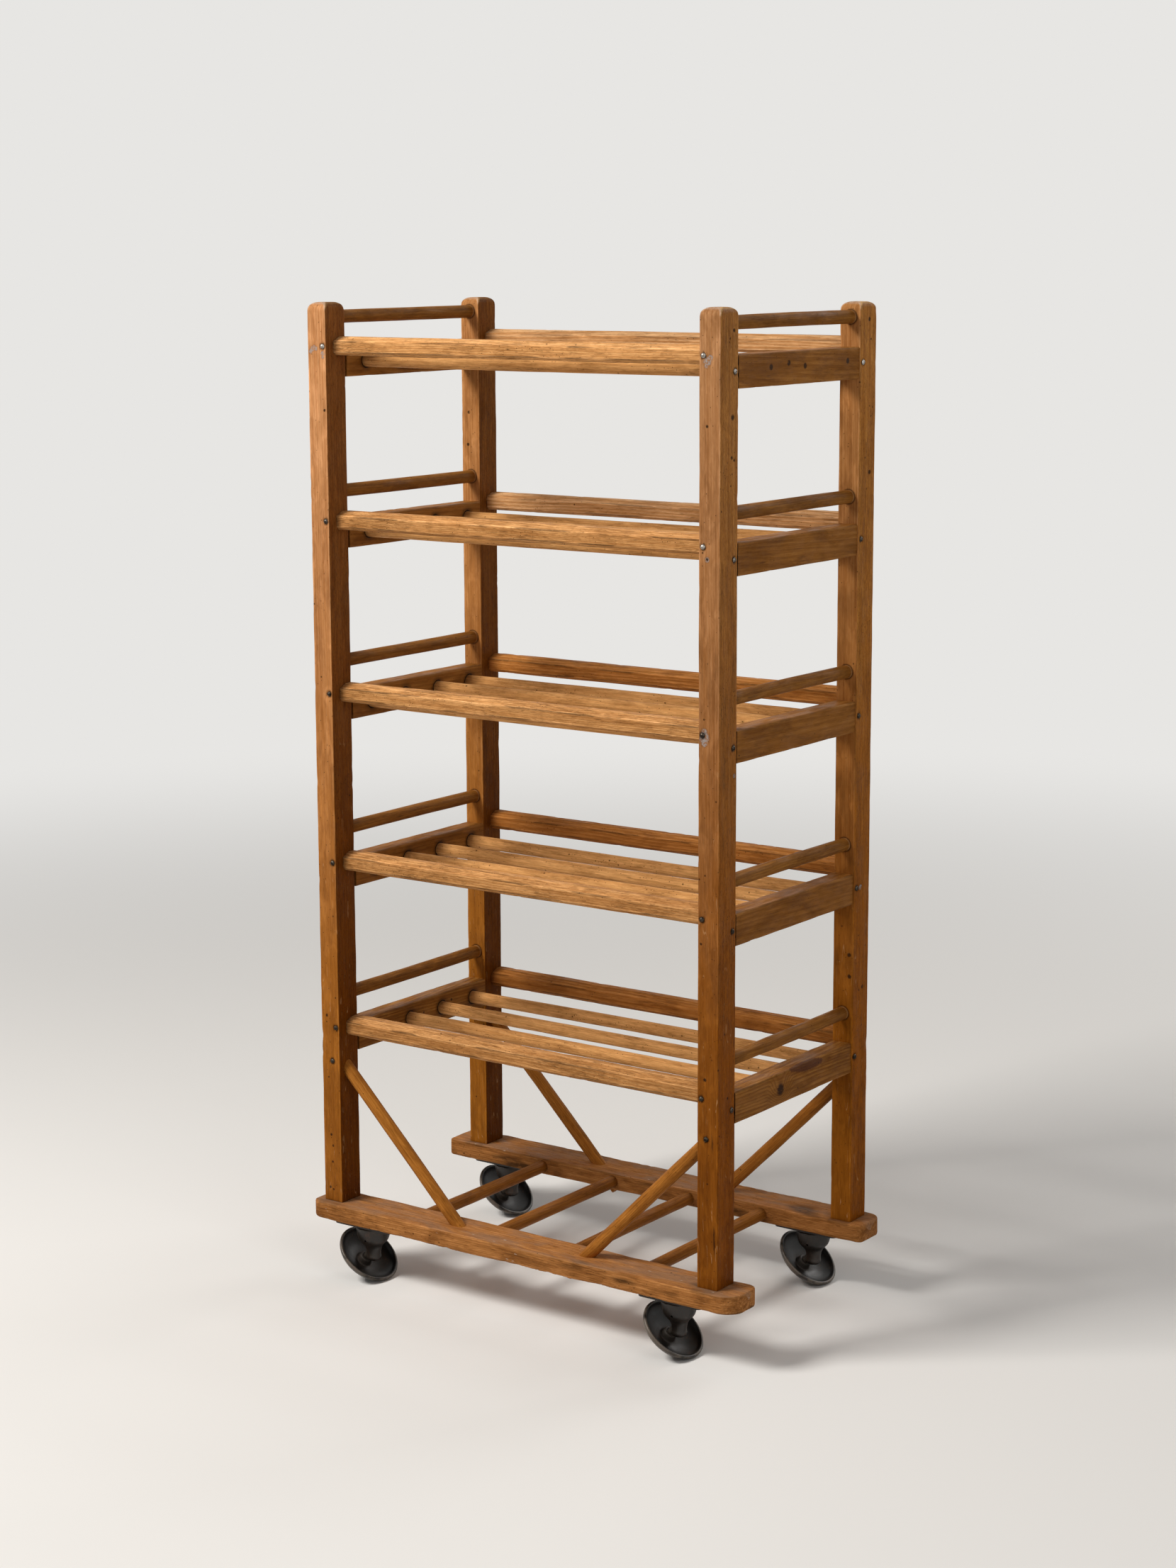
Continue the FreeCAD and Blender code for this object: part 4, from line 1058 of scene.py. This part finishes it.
for level, top in enumerate(SHELF_TOPS):
    for place, y in enumerate(SHELF_DOWEL_Y):
        straight_dowel("worn_shelf_dowel_%d%s" % (level + 1, "abcd"[place]), 0, 0.0, y,
                       DECK + top - SHELF_DOWEL_DROP, SHELF_DOWEL_HALF, dowel_wood, "dowel_wood",
                       "shelf_dowels_%d" % (level + 1), swell=0.00014, bow=0.0009,
                       pith=(0.003 + 0.002 * place, 0.004), tilt=0.006, seed=300 + 10 * level + place,
                       grime=joint_grime(0.70, 0, INNER_X, 0.006), tone=0.15 * (place % 2))
    for name, side in SIDES.items():
        straight_dowel("worn_guard_dowel_%s_%d" % (name, level + 1), 1, side * GUARD_DOWEL_X, 0.0,
                       DECK + top + GUARD_RISES[level], GUARD_DOWEL_HALF, guard_wood, "guard_wood",
                       "guard_dowels_%d" % (level + 1), swell=0.00012, bow=0.0008,
                       seed=400 + 10 * level + int(side),
                       grime=joint_grime(0.5, 1, INNER_Y, 0.012, front_only=True))

# the base dowels' tone 0.40 is painted shade, as under the shelves
for place, x in enumerate(BASE_DOWEL_X):
    straight_dowel("worn_base_dowel_%s" % "abcd"[place], 1, x, 0.0, BASE_DOWEL_Z, BASE_DOWEL_HALF,
                   brace_wood, "dowel_wood", "base_dowels", swell=0.00014, bow=0.0008, seed=500 + place,
                   grime=joint_grime(0.6, 1, RUNNER_INNER_Y, 0.010), tone=0.40)

for index, (corner, (face, side)) in enumerate(CORNERS.items()):
    foot, tip = BRACE_FEET[corner], BRACE_TIPS[corner]
    rise = BRACE_HEAD_X - abs(foot)
    bar = round_bar("worn_brace_" + corner, (foot + side * tip, face * BRACE_Y, DECK + tip),
                    (foot + side * rise, face * BRACE_Y, DECK + rise), step=0.006, swell=0.00015,
                    bow=0.0012, seed=520 + index)
    settle(bar, brace_wood, "rack", "dowel_wood", "brace_" + corner)


# ------------------------------------------------------------------ runners
RUNNERS = {                       # sign of Y, ends along X, outer and inner radius at each end, seed, tone
    "front": (-1.0, (-0.420, 0.443), ((0.019, 0.012), (0.034, 0.018)), 600, 0.0),
    "back": (1.0, (-0.443, 0.428), ((0.016, 0.008), (0.026, 0.012)), 620, 0.22),
}


def runner_outline(face, span, ends):
    """Outline rule of a runner: in plan, each end's corners are quarter circles."""
    def loss(s, side):
        low, high = ends[0][side], ends[1][side]
        return quarter(span[0] + low - s, low) + quarter(s - (span[1] - high), high)

    def rule(s):
        outer, inner = RUNNER_OUTER_Y - loss(s, 0), RUNNER_INNER_Y + loss(s, 1)
        low, high = (inner, outer) if face > 0 else (-outer, -inner)
        under, over = np.full_like(s, RUNNER_UNDER), np.full_like(s, DECK)
        corners = [(high, over), (low, over), (low, under), (high, under)]
        return np.stack([np.stack(pair, -1) for pair in corners], 1)
    return rule


def splintered(face, span, seed):
    """Extra depth lost along the lower outer arris, in ragged bites a few centimetres long."""
    draw = np.random.default_rng(seed)
    centres = draw.uniform(span[0] + 0.05, span[1] - 0.02, 16)
    lengths = draw.uniform(0.006, 0.030, 16)
    depths = draw.uniform(0.0005, 0.0018, 16)

    def rule(rows, gaps):
        away = np.hypot(rows[..., 1] - face * RUNNER_OUTER_Y, rows[..., 2] - RUNNER_UNDER)
        bite = np.zeros(rows.shape[:2])
        for centre, length, depth in zip(centres, lengths, depths):
            along = np.abs(rows[..., 0] - centre) / length
            bite = np.maximum(bite, depth * np.exp(-along ** 2))
        ragged = 0.6 + 0.4 * waves(rows, (0.010, 0.004, 0.004), 6, seed + 3)
        return bite * np.exp(-(away / 0.007) ** 2) * ragged
    return rule


def kick_grime(seed):
    """Grime rule of a runner: patches along it, and a seam round the posts' feet."""
    def rule(rows):
        patch = np.clip(waves(rows, (0.09, 0.05, 0.02), 8, seed) - 0.75, 0.0, 1.0)
        off = np.clip(np.abs(np.abs(rows[..., 0]) - GUARD_DOWEL_X) - POST_X / 2, 0.0, None)
        foot = np.where(rows[..., 2] > DECK - 0.003, 0.5 * np.exp(-off / 0.004), 0.0)
        return np.clip(patch + foot, 0.0, 0.9)
    return rule


for name, (face, span, ends, seed, tone) in RUNNERS.items():
    cap = (span, sorted((face * RUNNER_INNER_Y, face * RUNNER_OUTER_Y)), (DECK,) * 2)
    outer = (span, (face * RUNNER_OUTER_Y,) * 2, (RUNNER_UNDER, DECK))
    dents = np.concatenate([bruises(90, cap, seed, (0.002, 0.008)),
                            bruises(110, outer, seed + 1, depth=(0.0003, 0.0012))])
    runner = wooden_bar("worn_runner_" + name, "x", span[0], span[1], runner_outline(face, span, ends),
                        worn_radii([0.0026, 0.0026, 0.0042, 0.0042], 0.5, 4, seed, 0.14), step=0.0035,
                        ease=0.003, cells=(20, 9), close=[(span[0] + 0.008, 0.009), (span[1] - 0.016, 0.017)],
                        dents=dents, nick=(44, (0.0015, 0.006), (0.0002, 0.0006)), swell=0.00025,
                        pith=(0.02, -0.055), tilt=0.008, seed=seed, grime=kick_grime(seed + 7), tone=tone,
                        fray=splintered(face, span, seed + 5))
    settle(runner, runner_wood, "rack", "runner_wood", "runner_" + name)


# ------------------------------------------------------------------ casters
def wheel_profile():
    """Loop of a dished wheel: half-ellipsoid outside, rounded lip, bowl inside and raised hub."""
    outside = np.radians(np.linspace(12.5, 84.0, 22))
    outer = np.stack([0.0567 * np.sin(outside), -0.024 * np.cos(outside)], -1)
    turn = np.radians(np.linspace(0.0, 180.0, 9))
    lip = np.stack([0.0537 + 0.0026 * np.cos(turn), -0.0016 + 0.0022 * np.sin(turn)], -1)
    inside = np.radians(np.linspace(82.0, 16.0, 22))
    inner = np.stack([0.0506 * np.sin(inside), -0.0196 * np.cos(inside) - 0.0004], -1)
    hub = [(0.0133, -0.0180), (0.0124, -0.0150), (0.0114, -0.0112), (0.0108, -0.0096),
           (0.0098, -0.0090), (0.0061, -0.0090), (0.0061, -0.0200), (0.0061, -0.0234)]
    return np.concatenate([outer, lip, inner, hub])


def wheel_place(corner):
    """Map from a wheel turned about Z to its slanted axis under the runner."""
    lean = math.pi / 2 - WHEEL_TILT
    turn = np.array([(math.cos(lean), 0.0, math.sin(lean)), (0.0, 1.0, 0.0),
                     (-math.sin(lean), 0.0, math.cos(lean))])
    centre = np.array([CASTER_X[corner] + WHEEL_CENTRE[0], CORNERS[corner][0] * CASTER_Y,
                       RUNNER_UNDER + WHEEL_CENTRE[1]])
    return lambda spots: spots @ turn.T + centre


for corner in CORNERS:
    wheel = turned_piece("bowl_wheel_" + corner, wheel_profile(), 112, wheel_place(corner))
    settle(wheel, enamel, "wheel_" + corner, "wheel_enamel", "caster_wheel_" + corner)


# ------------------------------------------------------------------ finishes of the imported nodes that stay
KEPT = {"caster_swivel_": swivel_iron, "caster_plate_": plate_steel, "caster_axle_": axle_steel,
        "frame_screws": steel, "caster_screws": steel}
for name, node in cad_nodes.items():
    for start, material in KEPT.items():
        if name.startswith(start):
            node.data.materials.clear()
            node.data.materials.append(material)


# ------------------------------------------------------------------ floor, light and camera
BACKDROP = (0.80, 0.79, 0.77, 1.0)
FLOOR_REACH = (0.6, 1.2, 2.0, 3.0, 5.0, 9.0, 16.0, 30.0)
FLOOR_SEGMENTS = 96


def pale_floor():
    """Wide floor disc: plain diffuse near the rack, fading to the backdrop's own colour far away."""
    ring = np.insert(circle(FLOOR_SEGMENTS)[1], 2, 0.0, axis=1)
    spots = np.concatenate([reach * ring for reach in FLOOR_REACH] + [[(0.0, 0.0, 0.0)]])
    index = np.arange(len(spots) - 1).reshape(len(FLOOR_REACH), FLOOR_SEGMENTS)
    quads = ring_quads(index[1:], index[:-1])
    middle = np.stack([np.full(FLOOR_SEGMENTS, index.size), index[0], np.roll(index[0], -1)], -1)
    mesh = bpy.data.meshes.new("floor")
    mesh.from_pydata(spots.tolist(), [], quads.tolist() + middle.tolist())
    floor = add("floor", mesh)
    f = Finish("pale_floor", Base_Color=BACKDROP, Specular_IOR_Level=0.0, Roughness=1.0)
    away = f.node("VectorMath", {0: f.place()}, operation="LENGTH").outputs["Value"]
    glow = f.node("Emission", {"Color": BACKDROP, "Strength": 1.0})
    blend = f.node("MixShader", {0: f.times(f.seen(), f.ease(away, 1.6, 5.5)),
                                 1: f.shader.outputs[0], 2: glow.outputs[0]})
    f.tree.links.new(blend.outputs[0], f.tree.nodes["Material Output"].inputs["Surface"])
    mesh.materials.append(f.material)


def lamp(name, place, target, size, power, warmth):
    """Square area lamp at place, facing target."""
    light = bpy.data.lights.new(name, "AREA")
    light.shape = "SQUARE"
    light.size = size
    light.energy = power
    light.color = warmth
    away = np.array(place, float) - np.array(target, float)
    away = away / np.linalg.norm(away)
    right = np.cross((0.0, 0.0, 1.0), away)
    right = right / np.linalg.norm(right)
    turn = np.eye(4)
    turn[:3] = np.stack([right, np.cross(away, right), away, place], -1)
    add(name, light).matrix_world = Matrix(turn.tolist())


pale_floor()
lamp("key", (-2.0, -3.1, 4.3), (0.0, 0.0, 1.1), 1.6, 260.0, (1.0, 0.97, 0.93))
lamp("fill", (3.6, -1.8, 2.6), (0.0, 0.0, 1.0), 2.2, 30.0, (1.0, 0.97, 0.94))
lamp("rear", (1.0, 4.0, 3.4), (0.0, 0.0, 0.9), 2.4, 60.0, (1.0, 0.98, 0.96))

world = bpy.data.worlds.new("studio")
bpy.context.scene.world = world
world.use_nodes = True
world.node_tree.nodes.clear()
sky = Nodes(world.node_tree)
ambient = sky.node("Background", {"Color": (1.0, 0.98, 0.96, 1.0), "Strength": 0.20})
backdrop = sky.node("Background", {"Color": BACKDROP, "Strength": 1.0})
either = sky.node("MixShader", {0: sky.seen(), 1: ambient.outputs[0], 2: backdrop.outputs[0]})
sky.node("OutputWorld", {"Surface": either.outputs[0]})

camera = add("camera", bpy.data.cameras.new("camera"))
camera.location = (2.8372, -3.9718, 1.7602)
camera.rotation_euler = tuple(math.radians(angle) for angle in (79.5653, 0.2312, 35.5528))
camera.data.sensor_fit = "HORIZONTAL"
camera.data.sensor_width = 36.0
camera.data.lens = 91.484
camera.data.clip_start, camera.data.clip_end = 0.05, 120.0
bpy.context.scene.camera = camera
bpy.context.scene.view_settings.view_transform = "Standard"
